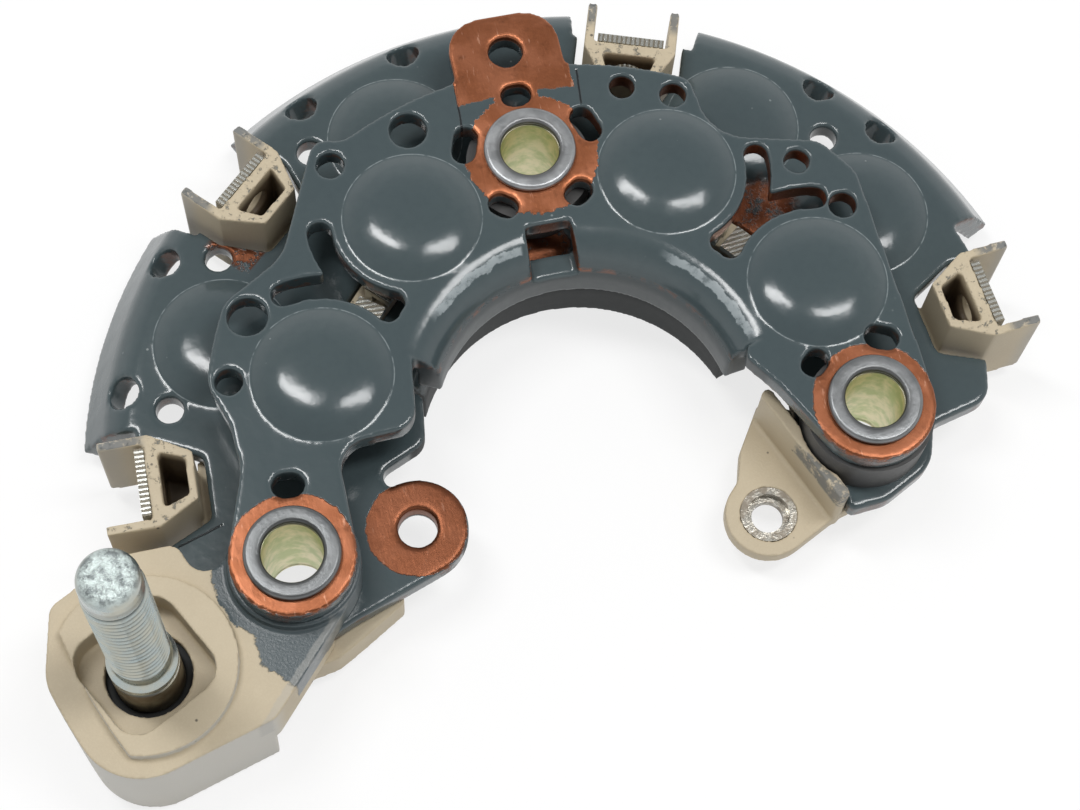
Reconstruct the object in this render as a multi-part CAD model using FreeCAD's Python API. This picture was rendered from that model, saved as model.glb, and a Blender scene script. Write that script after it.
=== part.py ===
import FreeCAD, Part
import math
import os

# Alternator rectifier: two pressed copper heat sinks one above the other, eight soldered diodes,
# a moulded terminal block between stator leads and diodes, three hollow rivets and an output stud.
# Millimetres. The Z axis is the alternator's shaft axis, +Y is the rectifier's line of symmetry
# through the top rivet, and Z = 0 is the plane that the moulded block stands on.

Vec = FreeCAD.Vector

# Sheet metal and the levels that follow from it
SHEET = 2.5
LOWER_TOP = 8.8
PLATE_GAP = 4.7
LOWER_BOTTOM = LOWER_TOP - SHEET
UPPER_BOTTOM = LOWER_TOP + PLATE_GAP
UPPER_TOP = UPPER_BOTTOM + SHEET
THROUGH = 40.0

# Hollow rivets that the alternator's bolts pass through: radius and angle about the shaft
RIVET_PLACES = {"left": (32.4, 197.2), "top": (27.5, 90.0), "right": (27.7, 348.2)}
RIVET_BORE = 5.9
RIVET_WALL = 0.55
RIVET_FLANGE = 9.3
RIVET_LIP = 0.9
RIVET_ROLL = 0.45
RIVET_FOOT = 3.2
RIVET_CLEARANCE = 0.1
RIVET_ROOM = 0.4
RIVET_OUTER = RIVET_BORE + 2 * RIVET_WALL

# Pressed seats for the diodes
SEAT_FOOT = 6.95
SEAT_RISE = 1.45
SEAT_SWELL = 3.0
SEAT_STEPS = (1.0, 0.83, 0.58, 0.26)
RECESS = 5.2
RECESS_DEPTH = 1.1
UPPER_SEATS = {1: (26.1, 162.6), 2: (26.1, 120.0), 3: (26.1, 60.0), 4: (26.1, 17.4)}
LOWER_SEATS = {1: (37.4, 154.6), 2: (37.4, 109.4), 3: (37.4, 53.0), 4: (37.4, 27.6)}

# Diodes: a soldered chip under a bead of resin, with one copper lead
DIODE = 4.9
DIODE_DEPTH = 1.9
LEAD = 1.2
LEAD_CLEARANCE = 0.1

# Upper heat sink
UPPER_RIM = 37.1
UPPER_LOBE = 6.1
UPPER_BEND = 19.4
UPPER_ROLL = 4.5
UPPER_ROLL_FOOT = 8.7
UPPER_ROLL_ENDS = (9.0, 153.6)
UPPER_EAR_WIDTH = 11.4
UPPER_EAR_TOP = 43.5
UPPER_EAR_CORNER = 3.6
UPPER_EAR_HOLE = (39.2, 3.5)
UPPER_HOLES = [(34.3, 109.7, 3.8), (36.0, 123.7, 2.8), (34.5, 153.7, 4.0), (35.0, 165.3, 2.75),
               (34.7, 71.8, 2.6), (34.8, 63.1, 2.7), (33.8, 38.9, 2.6), (33.45, 27.7, 2.8)]
ROLL_WINDOW = (4.7, 14.8, 12.4)

# Oblong vents round each rivet: angle about the rivet, ring radius, length, width
RIVET_VENTS = {"left": [(83.4, 6.95, 3.2, 2.5)],
               "top": [(18.0, 6.6, 4.1, 2.4), (90.0, 6.6, 3.1, 2.4), (162.0, 6.6, 4.1, 2.4),
                       (234.0, 6.6, 3.1, 2.4), (306.0, 6.6, 3.1, 2.4)],
               "right": [(68.7, 6.9, 3.5, 2.5), (132.0, 6.9, 3.1, 2.4)]}

# Forked slots between each pair of upper seats, concentric with the seats
FORK_LAND = 8.15
FORK_WIDTH = 2.4
FORK_TIP = 31.0
FORK_FOOT = 37.0

# Lower heat sink
LOWER_FLAT = 44.6
SKIRT_ROLL = 4.0
SKIRT_TURN = 60.0
SKIRT_FOOT = 2.4
SKIRTS = [(18.5, 62.5), (79.0, 125.5), (140.5, 169.0)]
LOWER_BEND = 20.7
LOWER_ROLL = 4.2
LOWER_ROLL_FOOT = 0.3
LOWER_ROLL_ENDS = (19.0, 154.0)
LOWER_EAR = (-18.5, -7.0)
LOWER_EAR_RADIUS = 5.0
LOWER_EAR_HOLE = 3.9
LOWER_HOLES = [(41.4, 142.1, 2.8), (41.4, 165.9, 2.8), (41.4, 121.0, 2.8), (41.4, 40.1, 2.8)]
SKIRT_VENTS = [163.7, 145.5, 117.4, 102.0, 44.9, 34.9]
SKIRT_VENT = 3.4
SKIRT_VENT_TURN = 28.0
BUSH_HOLE = 9.2

# Terminal clips of the moulded block: angle about the shaft and radius of the terminal's outer face
CLIPS = {1: (178.1, 44.2), 2: (132.5, 43.4), 3: (71.1, 42.3), 4: (6.2, 43.0)}
CLIP_TOP = 13.0
CLIP_FOOT = 2.0
CLIP_WIDTH = 9.6
CLIP_WING = 0.95
CLIP_REACH = 3.5
CLIP_WEB = 1.3
CLIP_WALL = 0.8
CLIP_SIDE = 0.56
CLIP_POCKET = 2.55
CLIP_POCKET_WIDTH = 5.7
CLIP_BACK_WIDTH = 4.9
CLIP_FLOOR = 4.7
CLIP_CLEARANCE = 0.8

# Phase terminals: a strip from the clip, along the block and up to the upper diodes
STRIP = 0.9
STRIP_LEVEL = 3.0
TERMINAL_WIDTH = 6.9
SPOKE_STRIP = 4.4
TRACK_RADIUS = 25.0
TRACK_WIDTH = 3.6
TERMINAL_HOLE = 3.3
TERMINAL_HOLE_LEVEL = 9.2
RISERS = {1: 141.6, 2: 134.2, 3: 45.8, 4: 38.4}
RISER_WIDTH = 2.4
RISER_TOP = 12.0
RISER_TAB = 2.9
LUG_WIDTH = 2.6
LUG_PAST_BLOCK = 1.8

# Moulded terminal block under the lower heat sink
BLOCK_WALL = 1.6
BLOCK_OUTER_WALL = 2.0
BLOCK_INNER = TRACK_RADIUS - BLOCK_WALL
BLOCK_OUTER = TRACK_RADIUS + TRACK_WIDTH + BLOCK_OUTER_WALL
BLOCK_ENDS = (-9.0, 188.0)
BLOCK_LOBE = 6.4
BLOCK_NECK = 6.0
SPOKE_WIDTH = 7.4
TOWER = 1.1
TOWER_TOP = 9.7
TOWER_CLEARANCE = 0.5

# Right ear of the block with its metal eyelet
INSERT = (20.0, 325.2)
INSERT_OUTER = 5.7
INSERT_BORE = 3.24
INSERT_RECESS = 1.0
INSERT_RECESS_BORE = 4.3
EAR_RADIUS = 4.4
EAR_FOOT = 2.9
EAR_TOP = 4.8
EAR_WALL = 1.3
EAR_WALL_TOP = 11.0

# Insulating bushes between the heat sinks
BUSH_COLLAR = 12.8
BUSH_SPIGOT = 8.9

# Output stud and its moulded boss
STUD = (49.2, 199.7)
STUD_THREAD = 5.9
STUD_SHOULDER = 6.7
STUD_SHOULDER_TOP = 16.0
STUD_HEAD = 10.0
STUD_HEAD_DEPTH = 3.4
STUD_TOP = 41.0
STUD_CHAMFER = 0.8
STUD_LOBE = 6.4
STUD_ROOM = 0.8
BOSS_TOP = 12.4
BOSS_DISC = 8.75
BOSS_DISC_RISE = 1.2
BOSS_DISC_CUT = 55.0
BOSS_RIM = 58.0
BOSS_WALL_END = -35.7
BOSS_BORE = 8.3
BOSS_FLOOR = 10.0
BOSS_POCKET = 10.9
BOSS_POCKET_CORNER = 2.6
BOSS_POCKET_TURN = 28.0


def polar(radius, angle, level=0.0):
    """Point at a radius and an angle in degrees about the shaft axis."""
    turn = math.radians(angle)
    return Vec(radius * math.cos(turn), radius * math.sin(turn), level)


def around(centre, radius, angle, level=0.0):
    """Point at a radius and an angle about a centre."""
    return Vec(centre.x, centre.y, 0) + polar(radius, angle, level)


def disc(centre, diameter, bottom, top):
    """Upright cylinder about a centre."""
    return Part.makeCylinder(diameter / 2, top - bottom, Vec(centre.x, centre.y, bottom))


def tube(centre, outer, inner, bottom, top):
    """Upright tube about a centre."""
    return disc(centre, outer, bottom, top).cut(disc(centre, inner, bottom, top))


def arc(start, end, centre=Vec(0, 0, 0)):
    """Shorter arc between two points at one level about a centre."""
    middle = (start + end) * 0.5 - centre
    middle.z = 0
    flat = start - centre
    flat.z = 0
    middle.multiply(flat.Length / middle.Length)
    middle = middle + centre
    middle.z = start.z
    return Part.Arc(start, middle, end).toShape()


def prism(corners, bottom, top):
    """Upright plate inside corners of (point, fillet radius, arc centre of the next edge or None)."""
    edges = []
    for index, (point, fillet, centre) in enumerate(corners):
        following = corners[(index + 1) % len(corners)][0]
        start = Vec(point.x, point.y, bottom)
        end = Vec(following.x, following.y, bottom)
        if centre is None:
            edges.append(Part.LineSegment(start, end).toShape())
        else:
            edges.append(arc(start, end, centre))
    solid = Part.Face(Part.Wire(edges)).extrude(Vec(0, 0, top - bottom))
    for radius in sorted({fillet for point, fillet, centre in corners if fillet}, reverse=True):
        points = [point for point, fillet, centre in corners if fillet == radius]
        solid = solid.makeFillet(radius, upright_edges(solid, points))
    return solid


def upright_edges(solid, points):
    """Vertical edges of a solid that stand over the given points."""
    found = []
    for edge in solid.Edges:
        first, last = edge.Vertexes[0].Point, edge.Vertexes[-1].Point
        if abs(first.x - last.x) + abs(first.y - last.y) > 1e-6:
            continue
        if any(math.hypot(first.x - point.x, first.y - point.y) < 1e-6 for point in points):
            found.append(edge)
    return found


def sector(inner, outer, start, end, bottom, top):
    """Part of a ring about the shaft axis."""
    profile = Part.makePolygon([Vec(inner, 0, bottom), Vec(outer, 0, bottom), Vec(outer, 0, top),
                                Vec(inner, 0, top), Vec(inner, 0, bottom)])
    solid = Part.Face(profile).revolve(Vec(0, 0, 0), Vec(0, 0, 1), end - start)
    solid.rotate(Vec(0, 0, 0), Vec(0, 0, 1), start)
    return solid


def slot(start, end, width, bottom, top):
    """Straight slot with round ends between two points."""
    along = end - start
    across = Vec(-along.y, along.x, 0).normalize() * (width / 2)
    corners = [start + across, start - across, end - across, end + across]
    body = prism([(point, 0, None) for point in corners], bottom, top)
    return body.fuse([disc(start, width, bottom, top), disc(end, width, bottom, top)])


def block(length, width, bottom, top, near=0.0):
    """Box from near to near + length along X, centred on Y."""
    return Part.makeBox(length, width, top - bottom, Vec(near, -width / 2, bottom))


def turned(shape, angle):
    """Copy of a shape turned about the shaft axis."""
    copy = shape.copy()
    copy.rotate(Vec(0, 0, 0), Vec(0, 0, 1), angle)
    return copy


def tangent_point(centre, radius, point, side):
    """Point of a circle where the tangent from an outside point touches, on side +1 or -1."""
    offset = point - centre
    swing = math.degrees(math.acos(radius / offset.Length))
    heading = math.degrees(math.atan2(offset.y, offset.x))
    return around(centre, radius, heading + side * swing)


def rivet_centre(name):
    """Axis of one hollow rivet."""
    return polar(*RIVET_PLACES[name])


def rolled_edge(bend, radius, turn, top, foot, start, end):
    """Sheet rolled down through a turn in degrees from a flat that ends at the bend.

    The roll goes outwards for a positive radius and inwards for a negative one, and its straight
    wall ends square to the sheet where its outer face reaches the foot.
    """
    inward = -1 if radius > 0 else 1
    outer = abs(radius)
    inner = outer - SHEET
    centre = top - outer

    def on_roll(size, degrees):
        swing = math.radians(degrees)
        return Vec(bend - inward * size * math.sin(swing), 0, centre + size * math.cos(swing))

    swing = math.radians(turn)
    down = Vec(-inward * math.cos(swing), 0, -math.sin(swing))
    length = (on_roll(outer, turn).z - foot) / math.sin(swing)
    face_foot = on_roll(outer, turn) + down * length
    back_foot = on_roll(inner, turn) + down * length
    edges = [Part.Arc(on_roll(outer, 0), on_roll(outer, turn / 2), on_roll(outer, turn)).toShape(),
             Part.makeLine(on_roll(outer, turn), face_foot), Part.makeLine(face_foot, back_foot),
             Part.makeLine(back_foot, on_roll(inner, turn)),
             Part.Arc(on_roll(inner, turn), on_roll(inner, turn / 2), on_roll(inner, 0)).toShape(),
             Part.makeLine(on_roll(inner, 0), on_roll(outer, 0))]
    solid = Part.Face(Part.Wire(edges)).revolve(Vec(0, 0, 0), Vec(0, 0, 1), end - start)
    return turned(solid, start)


def pressed_seat(centre, top):
    """Raised round seat, flat in the middle and falling off to its foot, to be fused on a sheet's top."""
    steps = [(SEAT_FOOT * step, SEAT_RISE * (1 - step ** SEAT_SWELL)) for step in SEAT_STEPS]
    rings = []
    for (outer, low), (inner, high) in zip(steps, steps[1:]):
        rings.append(Part.makeCone(outer, inner, high - low, Vec(centre.x, centre.y, top + low)))
    return disc(centre, 2 * SEAT_FOOT, top - SHEET / 2, top).fuse(rings)


def recess(centre, bottom):
    """Round recess under a seat that the diode is soldered into."""
    return disc(centre, 2 * RECESS, bottom - 1, bottom + RECESS_DEPTH)


def fork(first, second):
    """Forked slot between two upper seats, each arm concentric with its seat."""
    arms = []
    middle = FORK_LAND + FORK_WIDTH / 2
    for seat, other in ((first, second), (second, first)):
        centre = polar(*UPPER_SEATS[seat])
        side = 1 if UPPER_SEATS[other][1] > UPPER_SEATS[seat][1] else -1
        facing = UPPER_SEATS[seat][1] + side * 90
        start, end = sorted((facing - side * FORK_TIP, facing + side * FORK_FOOT))
        ring = sector(FORK_LAND, FORK_LAND + FORK_WIDTH, start, end, UPPER_BOTTOM - 1, UPPER_TOP + 1)
        ring.translate(centre)
        arms.append(ring)
        for angle in (start, end):
            arms.append(disc(around(centre, middle, angle), FORK_WIDTH, UPPER_BOTTOM - 1, UPPER_TOP + 1))
    return arms[0].fuse(arms[1:])


def upper_outline():
    """Flat part of the upper heat sink, from the left lobe over the rim to the right lobe and back."""
    shaft = Vec(0, 0, 0)
    left, right = rivet_centre("left"), rivet_centre("right")
    half = UPPER_EAR_WIDTH / 2
    ear_root = math.degrees(math.acos(half / UPPER_RIM))
    neck = Vec(-34.2, 0.0, 0)
    throat = Vec(-24.9, 0.4, 0)
    shoulder = polar(UPPER_RIM, 30.5)
    elbow = Vec(18.6, -2.4, 0)
    roll_start, roll_end = UPPER_ROLL_ENDS
    return [(tangent_point(left, UPPER_LOBE, neck, 1), 0, None),
            (neck, 6.0, None),
            (Vec(-34.5, 4.6, 0), 6.0, None),
            (polar(UPPER_RIM, 165.8), 3.0, shaft),
            (polar(UPPER_RIM, 152.3), 3.0, None),
            (polar(33.8, 141.6), 5.0, None),
            (polar(39.3, 122.6), 1.8, None),
            (polar(UPPER_RIM, 119.2), 3.0, shaft),
            (polar(UPPER_RIM, 180 - ear_root), 0.8, None),
            (Vec(-half, UPPER_EAR_TOP, 0), UPPER_EAR_CORNER, None),
            (Vec(half, UPPER_EAR_TOP, 0), UPPER_EAR_CORNER, None),
            (polar(UPPER_RIM, ear_root), 0.8, shaft),
            (polar(UPPER_RIM, 61.2), 1.8, None),
            (polar(31.7, 54.1), 5.0, None),
            (polar(UPPER_RIM, 38.5), 3.0, shaft),
            (shoulder, 3.0, None),
            (tangent_point(right, UPPER_LOBE, shoulder, -1), 0, right),
            (around(right, UPPER_LOBE, 270), 0, right),
            (tangent_point(right, UPPER_LOBE, elbow, 1), 0, None),
            (elbow, 2.0, None),
            (Vec(16.0, 1.3, 0), 0.8, None),
            (polar(16.6, roll_start), 0, None),
            (polar(UPPER_BEND, roll_start), 0, shaft),
            (polar(UPPER_BEND, 80.0), 0, shaft),
            (polar(UPPER_BEND, roll_end), 0, None),
            (polar(17.9, roll_end), 0.5, None),
            (Vec(-17.0, 0.7, 0), 2.5, None),
            (throat, 3.0, None),
            (tangent_point(left, UPPER_LOBE, throat, -1), 0, left),
            (around(left, UPPER_LOBE, 270), 0, left)]


def upper_heat_sink():
    """Pressed negative plate with its rolled inner edge, seats, ear, vents and forked slots."""
    plate = prism(upper_outline(), UPPER_BOTTOM, UPPER_TOP)
    start, end = UPPER_ROLL_ENDS
    plate = plate.fuse(rolled_edge(UPPER_BEND, -UPPER_ROLL, 90, UPPER_TOP, UPPER_ROLL_FOOT, start, end))
    seats = [pressed_seat(polar(*place), UPPER_TOP) for place in UPPER_SEATS.values()]
    plate = plate.fuse(seats).removeSplitter()
    low, high = UPPER_BOTTOM - 1, UPPER_TOP + 3
    cuts = [recess(polar(*place), UPPER_BOTTOM) for place in UPPER_SEATS.values()]
    cuts += [disc(polar(radius, angle), bore, low, high) for radius, angle, bore in UPPER_HOLES]
    cuts += [disc(rivet_centre(name), RIVET_OUTER + RIVET_CLEARANCE, low, high) for name in RIVET_PLACES]
    cuts += [fork(1, 2), fork(4, 3)]
    for name, vents in RIVET_VENTS.items():
        for angle, ring, length, width in vents:
            cuts.append(vent(rivet_centre(name), angle, ring, length, width, low, high))
    ear_radius, ear_bore = UPPER_EAR_HOLE
    cuts.append(disc(polar(ear_radius, 90), ear_bore, low, high))
    width, near, floor = ROLL_WINDOW
    cuts.append(turned(block(UPPER_BEND - near, width, floor, high, near), 90))
    return plate.cut(cuts).removeSplitter()


def vent(centre, angle, ring, length, width, low, high):
    """Oblong vent that lies across the line from a rivet's axis."""
    middle = around(centre, ring, angle)
    half = (length - width) / 2
    return slot(around(middle, half, angle + 90), around(middle, half, angle - 90), width, low, high)


def clip_outline(clip, spare):
    """Plan corners of one clip, grown by a spare all round: wings, tapered sides and narrow back."""
    angle, face = CLIPS[clip]
    half = CLIP_WIDTH / 2 + spare
    back = face - STRIP - CLIP_WEB - CLIP_POCKET - CLIP_WALL - spare
    half_back = CLIP_BACK_WIDTH / 2 + spare
    tip = face + CLIP_REACH + spare
    shoulder = face - STRIP - CLIP_WEB / 2
    return [Vec(tip, half, 0), Vec(shoulder, half, 0), Vec(back, half_back, 0),
            Vec(back, -half_back, 0), Vec(shoulder, -half, 0), Vec(tip, -half, 0)]


def lower_outline():
    """Flat part of the lower heat sink inside its skirts, from the stud over the rim to the right end."""
    shaft = Vec(0, 0, 0)
    stud = polar(*STUD)
    ear = Vec(*LOWER_EAR, 0)
    flat = LOWER_FLAT
    left_rim = polar(flat, 186.5)
    lower_edge = Vec(-26.2, -15.0, 0)
    notch = Vec(-20.9, -0.6, 0)
    return [(tangent_point(stud, STUD_LOBE, left_rim, 1), 0, None),
            (left_rim, 2.0, shaft),
            (polar(flat, 130.0), 0, shaft),
            (polar(flat, 70.0), 0, shaft),
            (polar(flat, 10.0), 0, None),
            (Vec(41.6, -0.6, 0), 0, None),
            (Vec(40.6, -5.2, 0), 2.6, None),
            (Vec(34.3, -6.7, 0), 0.8, None),
            (Vec(32.9, -10.9, 0), 4.0, None),
            (Vec(27.6, -13.6, 0), 4.0, None),
            (Vec(23.4, -13.9, 0), 0.8, None),
            (Vec(24.0, -9.0, 0), 4.0, None),
            (Vec(20.8, -4.0, 0), 4.0, None),
            (Vec(20.9, 2.0, 0), 1.0, None),
            (polar(LOWER_BEND, LOWER_ROLL_ENDS[0]), 0, shaft),
            (polar(LOWER_BEND, 90.0), 0, shaft),
            (polar(LOWER_BEND, LOWER_ROLL_ENDS[1]), 0, None),
            (polar(16.6, 157.0), 0.8, None),
            (Vec(-16.0, 1.5, 0), 2.0, None),
            (notch, 1.0, None),
            (around(ear, LOWER_EAR_RADIUS, 115), 0.6, ear),
            (around(ear, LOWER_EAR_RADIUS, 0), 0, ear),
            (tangent_point(ear, LOWER_EAR_RADIUS, lower_edge, 1), 0, None),
            (lower_edge, 0, None),
            (tangent_point(stud, STUD_LOBE, lower_edge, -1), 0, stud),
            (around(stud, STUD_LOBE, 200), 0, stud)]


def lower_heat_sink():
    """Pressed positive plate with its outer skirts, rolled inner edge, seats, ear and clip notches."""
    plate = prism(lower_outline(), LOWER_BOTTOM, LOWER_TOP)
    skirts = []
    for ends in SKIRTS:
        skirts.append(rolled_edge(LOWER_FLAT, SKIRT_ROLL, SKIRT_TURN, LOWER_TOP, SKIRT_FOOT, *ends))
    roll = rolled_edge(LOWER_BEND, -LOWER_ROLL, 90, LOWER_TOP, LOWER_ROLL_FOOT, *LOWER_ROLL_ENDS)
    seats = [pressed_seat(polar(*place), LOWER_TOP) for place in LOWER_SEATS.values()]
    plate = plate.fuse(skirts + [roll] + seats).removeSplitter()
    low, high = LOWER_BOTTOM - 1, LOWER_TOP + 3
    cuts = [recess(polar(*place), LOWER_BOTTOM) for place in LOWER_SEATS.values()]
    cuts += [disc(polar(radius, angle), bore, low, high) for radius, angle, bore in LOWER_HOLES]
    cuts += [disc(rivet_centre(name), BUSH_HOLE, low, high) for name in RIVET_PLACES]
    cuts.append(disc(Vec(*LOWER_EAR, 0), LOWER_EAR_HOLE, low, high))
    cuts.append(disc(polar(*STUD), STUD_SHOULDER, low, high))
    for clip, (angle, face) in CLIPS.items():
        corners = [(point, 0.8, None) for point in clip_outline(clip, CLIP_CLEARANCE)]
        cuts.append(turned(prism(corners, SKIRT_FOOT - 1, high), angle))
    cuts += [tower(pair, TOWER_CLEARANCE, low, high) for pair in ((1, 2), (4, 3))]
    cuts += [skirt_vent(angle) for angle in SKIRT_VENTS]
    return plate.cut(cuts).removeSplitter()


def skirt_vent(angle):
    """Drill for one round vent, square to the roll of the skirt."""
    swing = math.radians(SKIRT_VENT_TURN)
    axis = Vec(math.sin(swing), 0, math.cos(swing))
    centre = Vec(LOWER_FLAT, 0, LOWER_TOP - SKIRT_ROLL)
    start = centre + axis * (SKIRT_ROLL - 2 * SHEET)
    return turned(Part.makeCylinder(SKIRT_VENT / 2, 3 * SHEET, start, axis), angle)


def tower(pair, spare, bottom, top):
    """Moulded tower round two neighbouring risers, grown by a spare all round."""
    reach = math.degrees((RISER_WIDTH / 2 + TOWER + spare) / TRACK_RADIUS)
    angles = sorted(RISERS[clip] for clip in pair)
    inner = TRACK_RADIUS - TOWER - spare
    outer = TRACK_RADIUS + STRIP + TOWER + spare
    return sector(inner, outer, angles[0] - reach, angles[1] + reach, bottom, top)


def phase_terminal(clip):
    """Stamped strip: the upright plate in the clip, the track in the block and the riser."""
    angle, face = CLIPS[clip]
    inner, outer = TRACK_RADIUS, TRACK_RADIUS + TRACK_WIDTH
    top = STRIP_LEVEL + STRIP
    plate = block(STRIP, TERMINAL_WIDTH, STRIP_LEVEL, CLIP_TOP, face - STRIP)
    spoke = block(face - inner, SPOKE_STRIP, STRIP_LEVEL, top, inner)
    riser_angle = RISERS[clip]
    diode_radius, diode_angle = LOWER_SEATS[clip]
    half_riser = math.degrees(RISER_WIDTH / 2 / inner)
    angles = [angle, riser_angle - half_riser, riser_angle + half_riser, diode_angle]
    track = sector(inner, outer, min(angles), max(angles), STRIP_LEVEL, top)
    lug_length = BLOCK_OUTER + LUG_PAST_BLOCK - inner
    lug = turned(block(lug_length, LUG_WIDTH, STRIP_LEVEL, top, inner), diode_angle)
    riser = block(STRIP, RISER_WIDTH, STRIP_LEVEL, RISER_TOP, inner)
    tab = block(RISER_TAB, RISER_WIDTH, RISER_TOP - STRIP, RISER_TOP, inner + STRIP - RISER_TAB)
    riser = turned(riser.fuse(tab), riser_angle)
    start = Vec(face - 2 * STRIP, 0, TERMINAL_HOLE_LEVEL)
    hole = Part.makeCylinder(TERMINAL_HOLE / 2, 4 * STRIP, start, Vec(1, 0, 0))
    upright = turned(plate.cut(hole).fuse(spoke), angle)
    return upright.fuse([track, lug, riser]).removeSplitter()


def clip_moulding(clip):
    """One clip of the block: wings, web, tapered pocket and the spoke that carries it."""
    angle, face = CLIPS[clip]
    body = prism([(point, 0, None) for point in clip_outline(clip, 0.0)], CLIP_FOOT, CLIP_TOP)
    inside = CLIP_WIDTH - 2 * CLIP_WING
    mouth = block(CLIP_REACH + STRIP + 1, inside, CLIP_FOOT - 1, CLIP_TOP + 1, face - STRIP)
    web_face = face - STRIP - CLIP_WEB
    half = CLIP_POCKET_WIDTH / 2
    half_back = CLIP_BACK_WIDTH / 2 - CLIP_SIDE
    pocket_corners = [Vec(web_face, half, 0), Vec(web_face - CLIP_POCKET, half_back, 0),
                      Vec(web_face - CLIP_POCKET, -half_back, 0), Vec(web_face, -half, 0)]
    pocket = prism([(point, 0, None) for point in pocket_corners], CLIP_FLOOR, CLIP_TOP + 1)
    start = Vec(web_face - CLIP_WEB / 2, 0, TERMINAL_HOLE_LEVEL)
    hole = Part.makeCylinder(TERMINAL_HOLE / 2, 2 * CLIP_WEB, start, Vec(1, 0, 0))
    spoke = block(web_face - BLOCK_INNER - 1, SPOKE_WIDTH, CLIP_FOOT, LOWER_BOTTOM, BLOCK_INNER + 1)
    spoke_end = block(THROUGH, THROUGH, CLIP_FOOT, LOWER_BOTTOM, web_face - CLIP_POCKET - CLIP_WALL)
    return turned(body.cut([mouth, pocket, hole]).fuse(spoke.cut(spoke_end)), angle)


def ear_outline():
    """Right ear of the block: round about the insert, widening to the wall beside the heat sink."""
    insert = polar(*INSERT)
    right = rivet_centre("right")
    waist = Vec(14.3, -7.3, 0)
    lower = Vec(23.4, -12.9, 0)
    return [(tangent_point(insert, EAR_RADIUS, waist, 1), 0, None),
            (waist, 1.5, None),
            (Vec(15.2, -4.4, 0), 2.0, None),
            (Vec(18.4, 0.5, 0), 0.8, None),
            (around(right, BLOCK_LOBE / 2, 120), 0, None),
            (around(right, BLOCK_LOBE, 265), 0, None),
            (lower, 1.0, None),
            (tangent_point(insert, EAR_RADIUS, lower, -1), 0, insert),
            (around(insert, EAR_RADIUS, 220), 0, insert)]


def terminal_block():
    """Glass-filled moulding: ring under the lower plate, rivet lobes, four clips, towers and ear."""
    start, end = BLOCK_ENDS
    body = sector(BLOCK_INNER, BLOCK_OUTER, start, end, 0, LOWER_BOTTOM)
    lobes = [disc(rivet_centre(name), 2 * BLOCK_LOBE, RIVET_FOOT, LOWER_BOTTOM) for name in RIVET_PLACES]
    for name, (radius, angle) in RIVET_PLACES.items():
        turn = angle - 360 if angle > 270 else angle
        root = polar(TRACK_RADIUS + TRACK_WIDTH / 2, min(max(turn, start), end))
        lobes.append(slot(rivet_centre(name), root, BLOCK_NECK, RIVET_FOOT, LOWER_BOTTOM))
    body = body.fuse(lobes)
    ear = prism(ear_outline(), EAR_FOOT, EAR_TOP)
    wall_start, wall_end = Vec(18.2, -1.2, 0), Vec(22.9, -12.6, 0)
    wall = slot(wall_start, wall_end, EAR_WALL, EAR_FOOT, EAR_WALL_TOP)
    foot_corners = [Vec(-33.2, -18.6, 0), Vec(-28.4, -17.7, 0), Vec(-25.9, -16.3, 0),
                    Vec(-21.0, -13.4, 0), Vec(-22.0, -8.0, 0), Vec(-33.0, -12.0, 0)]
    foot = prism([(point, 0.8, None) for point in foot_corners], CLIP_FOOT, LOWER_BOTTOM)
    towers = [tower(pair, 0.0, 0, TOWER_TOP) for pair in ((1, 2), (4, 3))]
    clips = [clip_moulding(clip) for clip in CLIPS]
    body = body.fuse(clips + towers + [ear, wall, foot])
    cuts = [disc(rivet_centre(name), RIVET_OUTER + RIVET_CLEARANCE, -1, THROUGH) for name in RIVET_PLACES]
    room = RIVET_FLANGE + RIVET_ROOM
    cuts += [disc(rivet_centre(name), room, -1, RIVET_FOOT + RIVET_LIP) for name in RIVET_PLACES]
    cuts.append(disc(rivet_centre("right"), BUSH_COLLAR + RIVET_ROOM, LOWER_TOP, THROUGH))
    cuts.append(disc(polar(*INSERT), INSERT_OUTER, 0, EAR_TOP + 1))
    cuts += [diode_room(place) for place in LOWER_SEATS.values()]
    cuts += [phase_terminal(clip) for clip in CLIPS]
    return body.cut(cuts).removeSplitter()


def diode_room(place):
    """Space that the block leaves round a lower diode."""
    return disc(polar(*place), 2 * RECESS, -1, LOWER_BOTTOM + 1)


def hollow_rivet(name):
    """Tube through the pile, rolled over at both ends."""
    centre = rivet_centre(name)
    barrel = disc(centre, RIVET_OUTER, RIVET_FOOT, UPPER_TOP + RIVET_LIP)
    head = disc(centre, RIVET_FLANGE, UPPER_TOP, UPPER_TOP + RIVET_LIP)
    rim = [edge for edge in head.Edges if edge.BoundBox.ZMin > UPPER_TOP + RIVET_LIP / 2]
    head = head.makeChamfer(RIVET_ROLL, rim)
    foot = disc(centre, RIVET_FLANGE, RIVET_FOOT, RIVET_FOOT + RIVET_LIP)
    body = barrel.fuse([head, foot]).cut(disc(centre, RIVET_BORE, RIVET_FOOT - 1, UPPER_TOP + 2))
    bore = RIVET_BORE / 2
    mouth_foot = Vec(centre.x, centre.y, UPPER_TOP + RIVET_LIP - RIVET_ROLL)
    mouth = Part.makeCone(bore, bore + RIVET_ROLL, RIVET_ROLL, mouth_foot)
    return body.cut(mouth).removeSplitter()


def insulating_bush(name):
    """Flanged bush that holds the heat sinks apart and centres the rivet in the lower one."""
    centre = rivet_centre(name)
    collar = disc(centre, BUSH_COLLAR, LOWER_TOP, UPPER_BOTTOM)
    spigot = disc(centre, BUSH_SPIGOT, LOWER_BOTTOM, LOWER_TOP)
    return collar.fuse(spigot).cut(disc(centre, RIVET_OUTER + RIVET_CLEARANCE, 0, THROUGH)).removeSplitter()


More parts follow.
